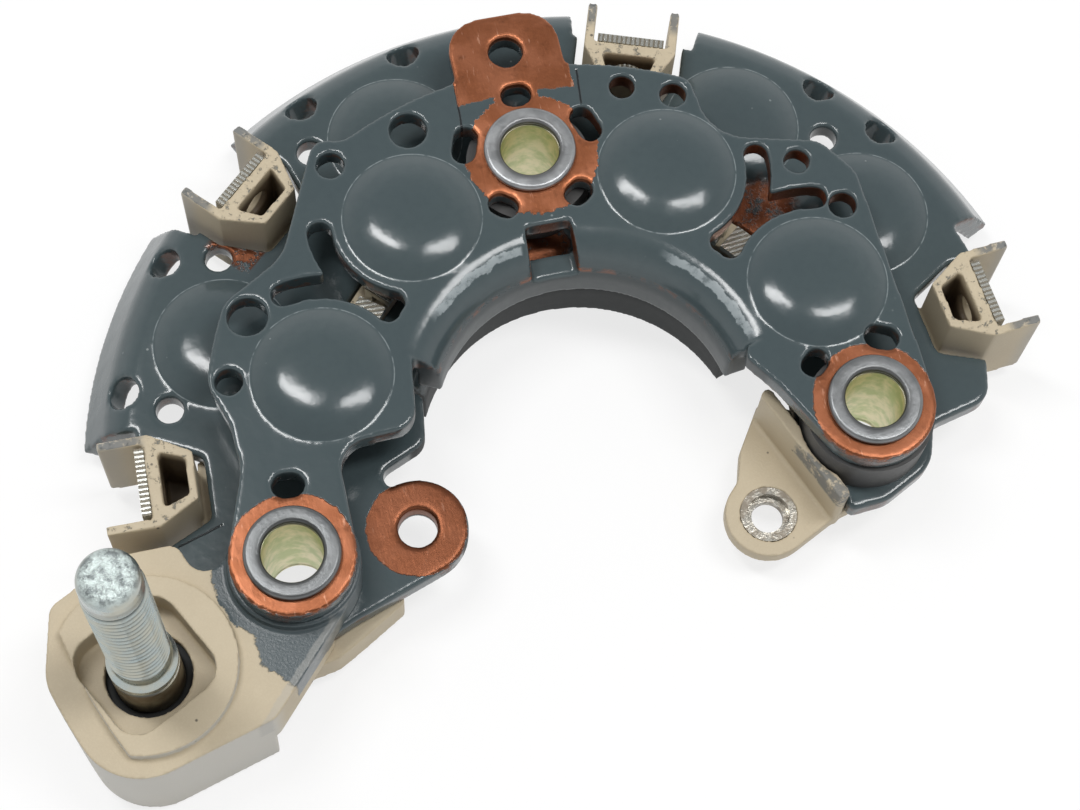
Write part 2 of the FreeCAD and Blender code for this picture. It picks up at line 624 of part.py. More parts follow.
def boss_outline():
    """Plan of the boss: rim about the shaft, a flat towards the clip and a neck round the left rivet."""
    left = rivet_centre("left")
    shaft = Vec(0, 0, 0)
    collar = BUSH_COLLAR / 2
    neck_low = Vec(-35.3, -23.9, 0)
    neck_high = Vec(-39.6, -10.4, 0)
    return [(tangent_point(left, collar, neck_low, 1), 0, None),
            (neck_low, 1.5, None),
            (polar(BOSS_RIM, 209.2), 6.5, shaft),
            (polar(BOSS_RIM, 196.0), 5.0, None),
            (Vec(-54.3, -8.9, 0), 1.5, None),
            (Vec(-47.2, -5.2, 0), 2.0, None),
            (Vec(-41.6, -5.1, 0), 1.5, None),
            (neck_high, 2.0, None),
            (tangent_point(left, collar, neck_high, -1), 0, left),
            (around(left, collar, 60), 0, left)]


def stud_boss():
    """Moulded boss over the stud end of the lower plate, with the collar round the left rivet."""
    stud = polar(*STUD)
    left = rivet_centre("left")
    outer = prism(boss_outline(), 0, BOSS_TOP)
    raised = disc(stud, 2 * BOSS_DISC, BOSS_TOP - 1, BOSS_TOP + BOSS_DISC_RISE)
    raised = raised.common(disc(Vec(0, 0, 0), 2 * BOSS_DISC_CUT, 0, THROUGH))
    collar = disc(left, BUSH_COLLAR, LOWER_TOP, UPPER_BOTTOM)
    body = outer.fuse([raised, collar])
    half = BOSS_POCKET / 2
    quarters = ((1, 1), (-1, 1), (-1, -1), (1, -1))
    square = [(Vec(half * x, half * y, 0), BOSS_POCKET_CORNER, None) for x, y in quarters]
    pocket = prism(square, BOSS_FLOOR, BOSS_TOP + 2 * BOSS_DISC_RISE)
    pocket.rotate(Vec(0, 0, 0), Vec(0, 0, 1), BOSS_POCKET_TURN)
    pocket.translate(stud)
    bore = disc(stud, BOSS_BORE, LOWER_TOP - 1, THROUGH)
    clear = RIVET_OUTER + RIVET_CLEARANCE
    spigot = tube(left, BUSH_SPIGOT, clear, LOWER_BOTTOM, LOWER_TOP)
    hollow = disc(stud, 2 * (STUD_LOBE + STUD_ROOM), -1, LOWER_TOP)
    under_neck = Part.makeBox(THROUGH, THROUGH, LOWER_BOTTOM + 1, Vec(BOSS_WALL_END, -THROUGH, -1))
    plate = prism(lower_outline(), LOWER_BOTTOM, LOWER_TOP)
    body = body.cut([pocket, bore, hollow, boss_hollow(), under_neck, plate, disc(left, clear, 0, THROUGH)])
    return body.fuse(spigot).removeSplitter()


def boss_hollow():
    """Space under the boss's roof for the plate, open towards the rest of the rectifier."""
    corners = [Vec(-24.0, -14.0, 0), Vec(-33.6, -19.0, 0), Vec(-38.0, -22.2, 0), Vec(-43.0, -23.6, 0),
               Vec(-48.0, -12.0, 0), Vec(-45.8, -7.2, 0), Vec(-43.0, -4.0, 0), Vec(-24.0, -2.0, 0)]
    return prism([(point, 0, None) for point in corners], -1, LOWER_TOP)


def output_stud():
    """Stud with a round head under the lower plate, a shoulder through it and a chamfered thread."""
    stud = polar(*STUD)
    head = disc(stud, STUD_HEAD, LOWER_BOTTOM - STUD_HEAD_DEPTH, LOWER_BOTTOM)
    shoulder = disc(stud, STUD_SHOULDER, LOWER_BOTTOM, STUD_SHOULDER_TOP)
    thread = disc(stud, STUD_THREAD, STUD_SHOULDER_TOP, STUD_TOP)
    rim = [edge for edge in thread.Edges if edge.BoundBox.ZMin > STUD_TOP - STUD_CHAMFER]
    thread = thread.makeChamfer(STUD_CHAMFER, rim)
    return head.fuse([shoulder, thread]).removeSplitter()


def ear_insert():
    """Metal eyelet moulded into the block's right ear, with a wider mouth."""
    centre = polar(*INSERT)
    body = disc(centre, INSERT_OUTER, EAR_FOOT, EAR_TOP)
    bore = disc(centre, INSERT_BORE, EAR_FOOT - 1, EAR_TOP + 1)
    mouth = disc(centre, INSERT_RECESS_BORE, EAR_TOP - INSERT_RECESS, EAR_TOP + 1)
    return body.cut([bore, mouth])


def diode(place, bottom):
    """Resin bead over the soldered chip, filling the recess and standing out below it."""
    top = bottom + RECESS_DEPTH
    return disc(polar(*place), 2 * DIODE, top - DIODE_DEPTH, top)


def bent_lead(start, corner, end):
    """Round copper lead that turns once between three points."""
    radius = LEAD / 2
    legs = [Part.makeCylinder(radius, (corner - start).Length, start, corner - start),
            Part.makeCylinder(radius, (end - corner).Length, corner, end - corner),
            Part.makeSphere(radius, corner)]
    return legs[0].fuse(legs[1:]).removeSplitter()


def upper_lead(clip):
    """Lead from an upper diode down and across to its riser's edge."""
    radius, angle = UPPER_SEATS[clip]
    foot = UPPER_BOTTOM + RECESS_DEPTH - DIODE_DEPTH
    level = RISER_TOP - STRIP - LEAD / 2
    riser = polar(TRACK_RADIUS - RISER_TAB / 2, RISERS[clip], level)
    return bent_lead(polar(radius, angle, foot), polar(radius, angle, level), riser)


def lower_lead(clip):
    """Lead from a lower diode down and inwards on to its lug."""
    radius, angle = LOWER_SEATS[clip]
    foot = LOWER_BOTTOM + RECESS_DEPTH - DIODE_DEPTH
    level = STRIP_LEVEL + STRIP + LEAD / 2
    end = polar(BLOCK_OUTER + LEAD_CLEARANCE, angle, level)
    return bent_lead(polar(radius, angle, foot), polar(radius, angle, level), end)


def sub_parts():
    """Every node of the rectifier with its solid."""
    yield "upper_heat_sink", upper_heat_sink()
    yield "lower_heat_sink", lower_heat_sink()
    yield "terminal_block", terminal_block()
    yield "stud_boss", stud_boss()
    yield "output_stud", output_stud()
    yield "ear_insert", ear_insert()
    for name in RIVET_PLACES:
        yield "hollow_rivet_" + name, hollow_rivet(name)
    for name in ("top", "right"):
        yield "insulating_bush_" + name, insulating_bush(name)
    for clip in CLIPS:
        yield "phase_terminal_%d" % clip, phase_terminal(clip)
        yield "upper_diode_%d" % clip, diode(UPPER_SEATS[clip], UPPER_BOTTOM)
        yield "upper_lead_%d" % clip, upper_lead(clip)
        yield "lower_diode_%d" % clip, diode(LOWER_SEATS[clip], LOWER_BOTTOM)
        yield "lower_lead_%d" % clip, lower_lead(clip)


os.makedirs("parts", exist_ok=True)
for node, shape in sub_parts():
    print(node, "solids", len(shape.Solids), "valid", shape.isValid(), "volume %.1f" % shape.Volume)
    shape.exportStep("parts/%s.step" % node)
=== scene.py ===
"""Looks of the alternator rectifier: coated heat sinks, beige mouldings, rivets and stud."""

import logging
import math
from dataclasses import dataclass, field
from enum import Enum
from functools import reduce
from typing import Any, Iterable, Optional, Sequence, Union

import bmesh
import bpy
from bpy.types import Material, Mesh, NodeSocket, NodeTree, Object
from mathutils import Matrix, Vector


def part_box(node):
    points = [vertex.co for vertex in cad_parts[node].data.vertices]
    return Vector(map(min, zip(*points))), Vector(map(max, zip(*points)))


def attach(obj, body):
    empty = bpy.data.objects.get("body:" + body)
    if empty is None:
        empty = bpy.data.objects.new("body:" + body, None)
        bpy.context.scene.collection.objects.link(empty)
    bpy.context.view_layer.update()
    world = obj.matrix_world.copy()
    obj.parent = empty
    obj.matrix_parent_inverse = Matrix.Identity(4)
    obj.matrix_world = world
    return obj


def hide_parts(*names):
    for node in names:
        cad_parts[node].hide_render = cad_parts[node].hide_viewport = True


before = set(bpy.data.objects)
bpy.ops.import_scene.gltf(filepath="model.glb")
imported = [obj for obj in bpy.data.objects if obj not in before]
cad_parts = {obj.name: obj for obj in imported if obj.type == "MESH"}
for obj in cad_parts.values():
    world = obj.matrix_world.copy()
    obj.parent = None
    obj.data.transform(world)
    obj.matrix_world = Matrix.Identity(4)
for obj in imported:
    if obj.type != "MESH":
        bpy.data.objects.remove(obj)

log = logging.getLogger("rectifier")

MM = 0.001
Colour = tuple[float, float, float, float]
Point = tuple[float, float]


def polar(radius: float, angle: float) -> Point:
    """Point at a radius in millimetres and an angle in degrees about the shaft axis."""
    turn = math.radians(angle)
    return radius * math.cos(turn), radius * math.sin(turn)


def rgb(red: float, green: float, blue: float) -> Colour:
    """Solid colour from its linear parts."""
    return red, green, blue, 1.0


# Places on the part, in millimetres.
RIVETS: dict[str, Point] = {
    "left": polar(32.4, 197.2), "top": polar(27.5, 90.0), "right": polar(27.7, 348.2)}
STUD = polar(49.2, 199.7)
UPPER_SEATS = [polar(26.1, angle) for angle in (162.6, 120.0, 60.0, 17.4)]
LOWER_SEATS = [polar(37.4, angle) for angle in (154.6, 109.4, 53.0, 27.6)]
LOWER_EAR: Point = (-18.6, -7.0)
TOP_RING: Point = (0.15, 27.2)
FORKS = (polar(34.8, 63.1), polar(29.5, 38.7))
UNDER_FORK: Point = (23.2, 19.4)
WINDOW: Point = (0.0, 15.8)
UNDER_WINDOW: Point = (0.3, 20.2)
UPPER_TOP = 16.0
LOWER_TOP = 8.8
# Angle of each clip in degrees, and the radius of its face.
CLIPS: dict[int, Point] = {1: (178.1, 44.2), 2: (132.5, 43.4), 3: (71.1, 42.3), 4: (6.2, 43.0)}

# Where a worn area ends and where it is full, in millimetres from its middle.
RING_BARE = (6.15, 5.95)
TOP_BARE = (6.75, 6.6)
EAR_BARE = (5.05, 4.9)
FORK_BARE = (9.5, 8.5)
WINDOW_BARE = (4.0, 3.4)
SCRIBE = (0.14, 0.06)
# Half-width of the painted highlight line at each seat's foot, and that line's distance from the
# seat's axis.
CREASE = (0.09, 0.02)
CREASE_REACH = 7.0
# Where the facing of a surface makes it a wall, and where a top.
WALL = (0.5, 0.2)
TOP = (0.5, 0.8)

WHITE = rgb(1.0, 1.0, 1.0)
FLOOR_GREY = rgb(0.86, 0.86, 0.86)
SLATE = rgb(0.063, 0.086, 0.093)
SLATE_THICK = rgb(0.071, 0.095, 0.1)
SLATE_THIN = rgb(0.05, 0.07, 0.078)
SLATE_SPECK = rgb(0.28, 0.31, 0.31)
SLATE_CREASE_HIGHLIGHT = rgb(0.26, 0.3, 0.31)
SLATE_SCRIBED = rgb(0.012, 0.014, 0.016)
SLATE_SHADE = rgb(0.012, 0.013, 0.013)
SLATE_ROLL_HIGHLIGHT = rgb(0.34, 0.385, 0.4)
COPPER = rgb(0.33, 0.115, 0.052)
COPPER_LIGHT = rgb(0.52, 0.2, 0.105)
COPPER_SCRAPED = rgb(0.8, 0.42, 0.28)
COPPER_DARK = rgb(0.13, 0.045, 0.022)
BEIGE = rgb(0.56, 0.475, 0.335)
BEIGE_DEEP = rgb(0.49, 0.41, 0.285)
BEIGE_FIBRE = rgb(0.66, 0.585, 0.44)
BEIGE_PALE_WALL = rgb(0.6, 0.59, 0.55)
BEIGE_POCKET_SHADE = rgb(0.085, 0.055, 0.03)
BEIGE_GREYED = rgb(0.41, 0.4, 0.37)
BEIGE_RUBBED = rgb(0.12, 0.135, 0.145)
BEIGE_DIRT = rgb(0.05, 0.045, 0.04)
OVERSPRAY = rgb(0.07, 0.092, 0.1)
ZINC_COOL = rgb(0.4, 0.46, 0.46)
ZINC_WARM = rgb(0.5, 0.5, 0.43)
ZINC_STAIN = rgb(0.3, 0.32, 0.32)
THREAD_VALLEY_SHADE = rgb(0.06, 0.07, 0.07)
CROP_BRIGHT = rgb(0.62, 0.7, 0.68)
CROP_DARK = rgb(0.24, 0.27, 0.27)
SHOULDER_DARK = rgb(0.16, 0.12, 0.07)
SHOULDER_LIGHT = rgb(0.3, 0.27, 0.19)
RIVET_DARK = rgb(0.36, 0.37, 0.38)
RIVET_BRIGHT = rgb(0.5, 0.51, 0.52)
RIVET_THROAT_SHADE = rgb(0.12, 0.12, 0.12)
RIVET_SHADE = rgb(0.09, 0.095, 0.095)
BORE_GREEN = rgb(0.55, 0.6, 0.3)
BORE_YELLOW = rgb(0.85, 0.78, 0.52)
TIN = rgb(0.6, 0.6, 0.55)
TIN_UNDER = rgb(0.2, 0.18, 0.14)
LEAD = rgb(0.6, 0.32, 0.2)
LEAD_UNDER = rgb(0.3, 0.14, 0.08)
EYELET = rgb(0.46, 0.44, 0.39)
EYELET_UNDER = rgb(0.24, 0.21, 0.17)
RESIN = rgb(0.028, 0.029, 0.032)
RESIN_CLOUD = rgb(0.05, 0.05, 0.052)
BUSH = rgb(0.07, 0.07, 0.068)

Number = Union["Term", float]


class Term:
    """One value in a shader tree, for arithmetic that adds its own nodes."""

    def __init__(self, shader: "Shader", socket: NodeSocket) -> None:
        """Wrap a socket.

        Args:
            shader: the tree that the socket belongs to.
            socket: the output socket that carries the value.
        """
        self.shader = shader
        self.socket = socket

    def _math(self, operation: str, *values: Number) -> "Term":
        """Math node on values, in order."""
        return self.shader.node("ShaderNodeMath", {"operation": operation}, dict(enumerate(values)))

    def __add__(self, other: Number) -> "Term":
        """Sum."""
        return self._math("ADD", self, other)

    def __radd__(self, other: float) -> "Term":
        """Sum with a plain number first."""
        return self._math("ADD", other, self)

    def __sub__(self, other: Number) -> "Term":
        """Difference."""
        return self._math("SUBTRACT", self, other)

    def __rsub__(self, other: float) -> "Term":
        """Difference with a plain number first."""
        return self._math("SUBTRACT", other, self)

    def __mul__(self, other: Number) -> "Term":
        """Product."""
        return self._math("MULTIPLY", self, other)

    def __rmul__(self, other: float) -> "Term":
        """Product with a plain number first."""
        return self._math("MULTIPLY", other, self)

    def __pow__(self, other: float) -> "Term":
        """Power."""
        return self._math("POWER", self, other)

    def __or__(self, other: Number) -> "Term":
        """Larger of two masks."""
        return self._math("MAXIMUM", self, other)

    def __and__(self, other: Number) -> "Term":
        """Smaller of two masks."""
        return self._math("MINIMUM", self, other)

    def absolute(self) -> "Term":
        """Size without its sign."""
        return self._math("ABSOLUTE", self)

    def rise(self, low: float, high: float) -> "Term":
        """Smooth mask between two values, which falls where the second is the smaller one.

        Args:
            low: value where the mask is 0.
            high: value where the mask is 1.

        Returns:
            The mask.
        """
        settings = {"interpolation_type": "SMOOTHSTEP", "clamp": True}
        ends = (low, high, 0.0, 1.0) if low < high else (high, low, 1.0, 0.0)
        return self.shader.node("ShaderNodeMapRange", settings, dict(enumerate((self, *ends))))

    def between(self, low: float, high: float, soft: float) -> "Term":
        """Mask that is 1 between two values, with soft ends inside them."""
        return self.rise(low, low + soft) & self.rise(high, high - soft)


Value = Union[Term, float, Sequence[float], str]


class Shader:
    """Node tree of one material or surround, with the few calls that every finish here needs."""

    def __init__(self, name: str, owner: Any = None) -> None:
        """Start an empty tree.

        Args:
            name: the name of the material.
            owner: the world that owns the tree, where it is no material's.
        """
        self.material = owner or bpy.data.materials.new(name)
        self.material.use_nodes = True
        self.tree = self.material.node_tree
        self.tree.nodes.clear()
        self._place: Optional[Term] = None

    def node(self, kind: str, settings: Optional[dict[str, Any]] = None,
             inputs: Optional[dict[Any, Value]] = None, output: Any = 0) -> Term:
        """Add any node, with its settings first and then the values or links of its sockets.

        Args:
            kind: the node's type.
            settings: attributes of the node.
            inputs: values or terms by socket name or number.
            output: name or number of the socket to return.

        Returns:
            The output as a term.
        """
        made = self.tree.nodes.new(kind)
        for key, value in (settings or {}).items():
            setattr(made, key, value)
        for key, value in (inputs or {}).items():
            if isinstance(value, Term):
                self.tree.links.new(value.socket, made.inputs[key])
            else:
                made.inputs[key].default_value = value
        return Term(self, made.outputs[output])

    def place(self) -> Term:
        """Object coordinates, from one pair of nodes for the whole tree.

        Returns:
            The vector in millimetres.
        """
        if self._place is None:
            raw = self.node("ShaderNodeTexCoord", output="Object")
            self._place = self.node("ShaderNodeVectorMath", {"operation": "SCALE"},
                                    {0: raw, "Scale": 1.0 / MM})
        return self._place

    def axes(self) -> tuple[Term, ...]:
        """Object coordinates in millimetres, as x, y and z."""
        split = self.node("ShaderNodeSeparateXYZ", None, {0: self.place()})
        return tuple(Term(self, output) for output in split.socket.node.outputs)

    def facing(self) -> Term:
        """How far the true surface faces up, from -1 to 1."""
        normal = self.node("ShaderNodeNewGeometry", output="True Normal")
        return self.node("ShaderNodeSeparateXYZ", None, {0: normal}, "Z")

    def noise(self, size: float, detail: float = 3.0, rough: float = 0.55,
              stretch: Optional[Sequence[float]] = None) -> Term:
        """Noise from 0 to 1 whose lumps are about a size in millimetres.

        Args:
            size: lump size in millimetres.
            detail: octaves.
            rough: weight of the finer octaves.
            stretch: scale along each axis, for streaks.

        Returns:
            The noise value.
        """
        where = self.place()
        if stretch is not None:
            where = self.node("ShaderNodeVectorMath", {"operation": "MULTIPLY"},
                              {0: where, 1: stretch})
        return self.node(
            "ShaderNodeTexNoise", {"noise_dimensions": "3D"},
            {"Vector": where, "Scale": 1.0 / size, "Detail": detail, "Roughness": rough}, "Fac")

    def cells(self, size: float) -> Term:
        """Distance to the nearest of scattered points about a size in millimetres apart."""
        return self.node("ShaderNodeTexVoronoi", {"feature": "F1"},
                         {"Vector": self.place(), "Scale": 1.0 / size}, "Distance")

    def mix(self, factor: Value, first: Value, second: Value) -> Term:
        """Blend of two colours."""
        return self.node("ShaderNodeMix", {"data_type": "RGBA", "clamp_factor": True},
                         {0: factor, 6: first, 7: second}, 2)

    def layers(self, base: Value, *coats: tuple[Value, Value]) -> Term:
        """Lay colours over a base.

        Args:
            base: the lowest colour.
            coats: mask and colour of each layer, from the lowest up.

        Returns:
            The colour that shows.
        """
        for mask, colour in coats:
            base = self.mix(mask, base, colour)
        return base

    def blend(self, factor: Term, first: Value, second: Value) -> Term:
        """Blend of two numbers."""
        return self.node("ShaderNodeMix", {"data_type": "FLOAT", "clamp_factor": True},
                         {0: factor, 2: first, 3: second}, 0)

    def from_point(self, centre: Point) -> Term:
        """Plan distance in millimetres from an upright axis."""
        x, y, _ = self.axes()
        return ((x - centre[0]) ** 2.0 + (y - centre[1]) ** 2.0) ** 0.5

    def nearest(self, centres: Iterable[Point]) -> Term:
        """Plan distance in millimetres from the nearest of several upright axes."""
        return reduce(Term.__and__, map(self.from_point, centres))

    def bump(self, height: Term, depth: float, under: Optional[Term] = None) -> Term:
        """Normal from a height.

        Args:
            height: the height, from 0 to 1.
            depth: what 1 stands for, in millimetres.
            under: the normal that it is laid on, or None for the plain surface.

        Returns:
            The normal.
        """
        inputs: dict[Any, Value] = {"Height": height, "Distance": depth * MM, "Strength": 1.0}
        if under is not None:
            inputs["Normal"] = under
        return self.node("ShaderNodeBump", None, inputs)

    def surface(self, **sockets: Value) -> Material:
        """Finish the material with one Principled shader.

        Args:
            sockets: its inputs, with underscores for spaces.

        Returns:
            The material.
        """
        named = {key.replace("_", " "): value for key, value in sockets.items()}
        self.end_with(self.node("ShaderNodeBsdfPrincipled", None, named))
        return self.material

    def end_with(self, shader: Term, kind: str = "ShaderNodeOutputMaterial") -> None:
        """Link a shader to the tree's output."""
        self.tree.links.new(shader.socket, self.tree.nodes.new(kind).inputs[0])

    def other(self, term: Term, output: str) -> Term:
        """Another output of the node that a term comes from."""
        return Term(self, term.socket.node.outputs[output])


class Deck(Enum):
    """The two heat sinks, which share a coating and differ in where it is worn off."""

    UPPER = "upper"
    LOWER = "lower"


@dataclass(frozen=True)
class SlateCoating:
    """Glossy slate-grey powder coating on copper, scraped bare round the rivets and on the ears.

    Attributes:
        deck: the heat sink that it covers.
    """

    deck: Deck

    def bare(self, shader: Shader) -> Term:
        """Mask of the areas with no coating.

        Args:
            shader: its node tree.

        Returns:
            1 where the copper is bare.
        """
        x, y, z = shader.axes()
        ragged = (shader.noise(1.1, 4.0, 0.65) - 0.5) * 1.5
        if self.deck is Deck.UPPER:
            left = (shader.from_point(RIVETS["left"]) + ragged * 0.5).rise(*RING_BARE)
            right = (shader.from_point(RIVETS["right"]) + ragged * 0.5).rise(*RING_BARE)
            top = (shader.from_point(TOP_RING) + ragged).rise(*TOP_BARE)
            ear = ((y + ragged * 0.6 + x.absolute() * 0.1).rise(34.4, 34.55)
                   & (x.absolute() + ragged * 0.3).rise(6.1, 5.95))
            bridge = (x.absolute() + ragged * 0.6).rise(2.35, 2.2) & y.rise(31.0, 31.2)
            return (left | right | top | ear | bridge) & z.rise(15.1, 15.5)
        turn = math.radians(CLIPS[2][0])
        along = x * math.cos(turn) + y * math.sin(turn)
        across = y * math.cos(turn) - x * math.sin(turn)
        grit = shader.noise(0.7, 4.0, 0.7) + shader.noise(3.0) * 0.5
        notch = (along.rise(37.2, 37.6) & along.rise(43.0, 42.0) & across.rise(3.4, 4.0)
                 & across.rise(6.9, 6.3) & grit.rise(0.66, 0.8))
        ear = (shader.from_point(LOWER_EAR) + ragged * 0.45).rise(*EAR_BARE)
        side = (x * 0.95 + y * 0.3 + ragged * 0.4).rise(-25.1, -24.9)
        below = (shader.from_point(UNDER_FORK) + ragged * 1.6).rise(4.2, 2.8)
        window = (shader.from_point(UNDER_WINDOW) + ragged * 0.8).rise(2.8, 2.2)
        return ((ear & side & z.rise(6.9, 7.3)) | (notch & z.rise(8.0, 8.4))
                | below * grit.rise(0.55, 0.75) | window * grit.rise(0.5, 0.7))

    def hole_walls(self, shader: Shader) -> Term:
        """Mask of the punched walls where the coating is thin and copper shows.

        Args:
            shader: its node tree.

        Returns:
            How much copper shows, from 0 to 1.
        """
        x, y, z = shader.axes()
        upright = shader.facing().absolute().rise(0.45, 0.2)
        patches = shader.noise(2.6, 3.0, 0.6).rise(0.5, 0.62)
        if self.deck is Deck.UPPER:
            left, right = (shader.from_point(fork).rise(*FORK_BARE) for fork in FORKS)
            inside = left | right | shader.from_point(WINDOW).rise(*WINDOW_BARE)
            rim = (x * x + y * y).rise(1440.0, 1380.0)
            return (upright & (inside * 0.9 | patches * 0.35) & z.rise(12.6, 13.2)
                    & z.rise(15.7, 15.4) & rim)
        return upright & patches * 0.45 & (x * x + y * y).rise(560.0, 620.0) & z.rise(8.5, 8.2)

    def crease_highlights(self, shader: Shader) -> Term:
        """Mask of the painted highlight, a pale thin line along the coating's meniscus at the foot
        of each seat.

        Args:
            shader: its node tree.

        Returns:
            1 on the lines.
        """
        centres = UPPER_SEATS if self.deck is Deck.UPPER else LOWER_SEATS
        line = (shader.nearest(centres) - CREASE_REACH).absolute().rise(*CREASE)
        return line & shader.facing().rise(*TOP)

    def dull(self, shader: Shader) -> Term:
        """Mask of where the bare copper is darker: on the upper plate towards the front and a
        little at the top ear, on the lower plate in patches all over.

        Args:
            shader: its node tree.

        Returns:
            How dark the copper is, from 0 to 1.
        """
        if self.deck is Deck.LOWER:
            return shader.noise(1.4, 4.0, 0.6) * 0.3 + 0.62
        _, y, _ = shader.axes()
        return y.rise(12.0, 4.0) * 0.42 | y.rise(31.0, 34.0) * 0.2

    def scribed(self, shader: Shader) -> Term:
        """Mask of the thin lines scribed into the coating.

        Args:
            shader: its node tree.

        Returns:
            1 on the lines.
        """
        x, y, _ = shader.axes()
        wobble = (shader.noise(1.5) - 0.5) * 0.2
        if self.deck is Deck.LOWER:
            low = (y + 16.75 + (x + 41.6) * -0.3 - 12.5 + wobble).absolute().rise(*SCRIBE)
            return low & x.between(-41.8, -36.9, 0.4)
        left = (x + 7.9 - y * 0.055 + wobble).absolute().rise(*SCRIBE)
        right = (x - 3.3 - y * 0.095 + wobble).absolute().rise(*SCRIBE)
        return (left & y.between(31.0, 36.6, 0.4)) | (right & y.between(31.6, 36.0, 0.4))

    def shade(self, shader: Shader) -> Term:
        """Mask of the painted shade on the inner walls and in the well round the stud.

        Args:
            shader: its node tree.

        Returns:
            How dark the coating is, from 0 to 1.
        """
        x, y, _ = shader.axes()
        inner = shader.facing().absolute().rise(0.5, 0.15) & (x * x + y * y).rise(330.0, 300.0)
        if self.deck is Deck.UPPER:
            return inner * 0.45
        return inner * 0.9 | shader.from_point(STUD).rise(6.9, 6.5)

    def roll_highlight(self, shader: Shader) -> Term:
        """Mask of the painted highlight, a ragged pale strip along the top of the upper plate's
        roll.

        Args:
            shader: its node tree.

        Returns:
            1 where the highlight is painted.
        """
        x, y, _ = shader.axes()
        reach = (x * x + y * y) ** 0.5 + (shader.noise(1.6, 4.0, 0.65) - 0.5) * 1.1
        right = (y - x * 1.28).rise(1.5, -3.0) & y.rise(3.0, 4.2)
        left = (y + x * 0.9).rise(-1.0, 2.0) & x.rise(-2.9, -3.3)
        patchy = shader.noise(1.1, 4.0, 0.7).rise(0.32, 0.55) * 0.6 + 0.4
        return reach.between(17.0, 17.9, 0.15) * (right | left) * patchy

    def build(self) -> Material:
        """Make the material.

        Returns:
            The coating with its bare copper.
        """
        shader = Shader("slate_coating_" + self.deck.value)
        bare = self.bare(shader)
        worn = self.hole_walls(shader)
        metal = bare | worn
        lines = self.scribed(shader)
        # Painted shade on the inner walls and round the stud.
        painted_shade = self.shade(shader)
        mottle = shader.noise(0.9, 2.0, 0.5)
        specks = shader.cells(2.2).rise(0.075, 0.04) * shader.noise(9.0).rise(0.5, 0.62)
        coat = shader.layers(
            SLATE,
            (shader.noise(14.0, 3.0, 0.5).rise(0.3, 0.7) * 0.6, SLATE_THICK),
            (mottle.rise(0.35, 0.75) * 0.25, SLATE_THIN),
            (specks * 0.5, SLATE_SPECK),
            # Painted highlight along the foot of each seat.
            (self.crease_highlights(shader) * mottle.rise(0.3, 0.6) * 0.7, SLATE_CREASE_HIGHLIGHT),
            (lines * 0.9, SLATE_SCRIBED),
            (painted_shade, SLATE_SHADE))
        gloss = 0.13 + mottle * 0.06 + specks * 0.2
        if self.deck is Deck.UPPER:
            # Painted highlight along the top of the roll.
            highlight_streak = self.roll_highlight(shader)
            coat = shader.mix(highlight_streak * 0.8, coat, SLATE_ROLL_HIGHLIGHT)
            gloss = gloss + highlight_streak * 0.2
        grain = shader.noise(0.3, 4.0, 0.7)
        scuffs = shader.noise(0.45, 3.0, 0.6, (1.0, 0.2, 1.0))
        copper = shader.layers(
            COPPER,
            (shader.noise(2.8, 3.0, 0.5).rise(0.35, 0.65) * 0.6, COPPER_LIGHT),
            (scuffs.rise(0.62, 0.72) * 0.7, COPPER_SCRAPED),
            (shader.noise(1.7, 4.0, 0.6).rise(0.55, 0.75) * 0.6, COPPER_DARK),
            (worn * (1.0 - bare) * 0.3, COPPER_DARK),
            (self.dull(shader), COPPER_DARK))
        relief = shader.bump(shader.noise(1.6, 2.0, 0.5), 0.022)
        relief = shader.bump(1.0 - bare, 0.09, relief)
        relief = shader.bump(1.0 - lines, 0.08, relief)
        relief = shader.bump((scuffs * 0.6 + grain * 0.4) * metal, 0.03, relief)
        return shader.surface(
            Base_Color=shader.mix(metal, coat, copper), Metallic=metal * 0.92, Normal=relief,
            Roughness=shader.blend(metal, gloss + painted_shade * 0.55, 0.3 + grain * 0.16))


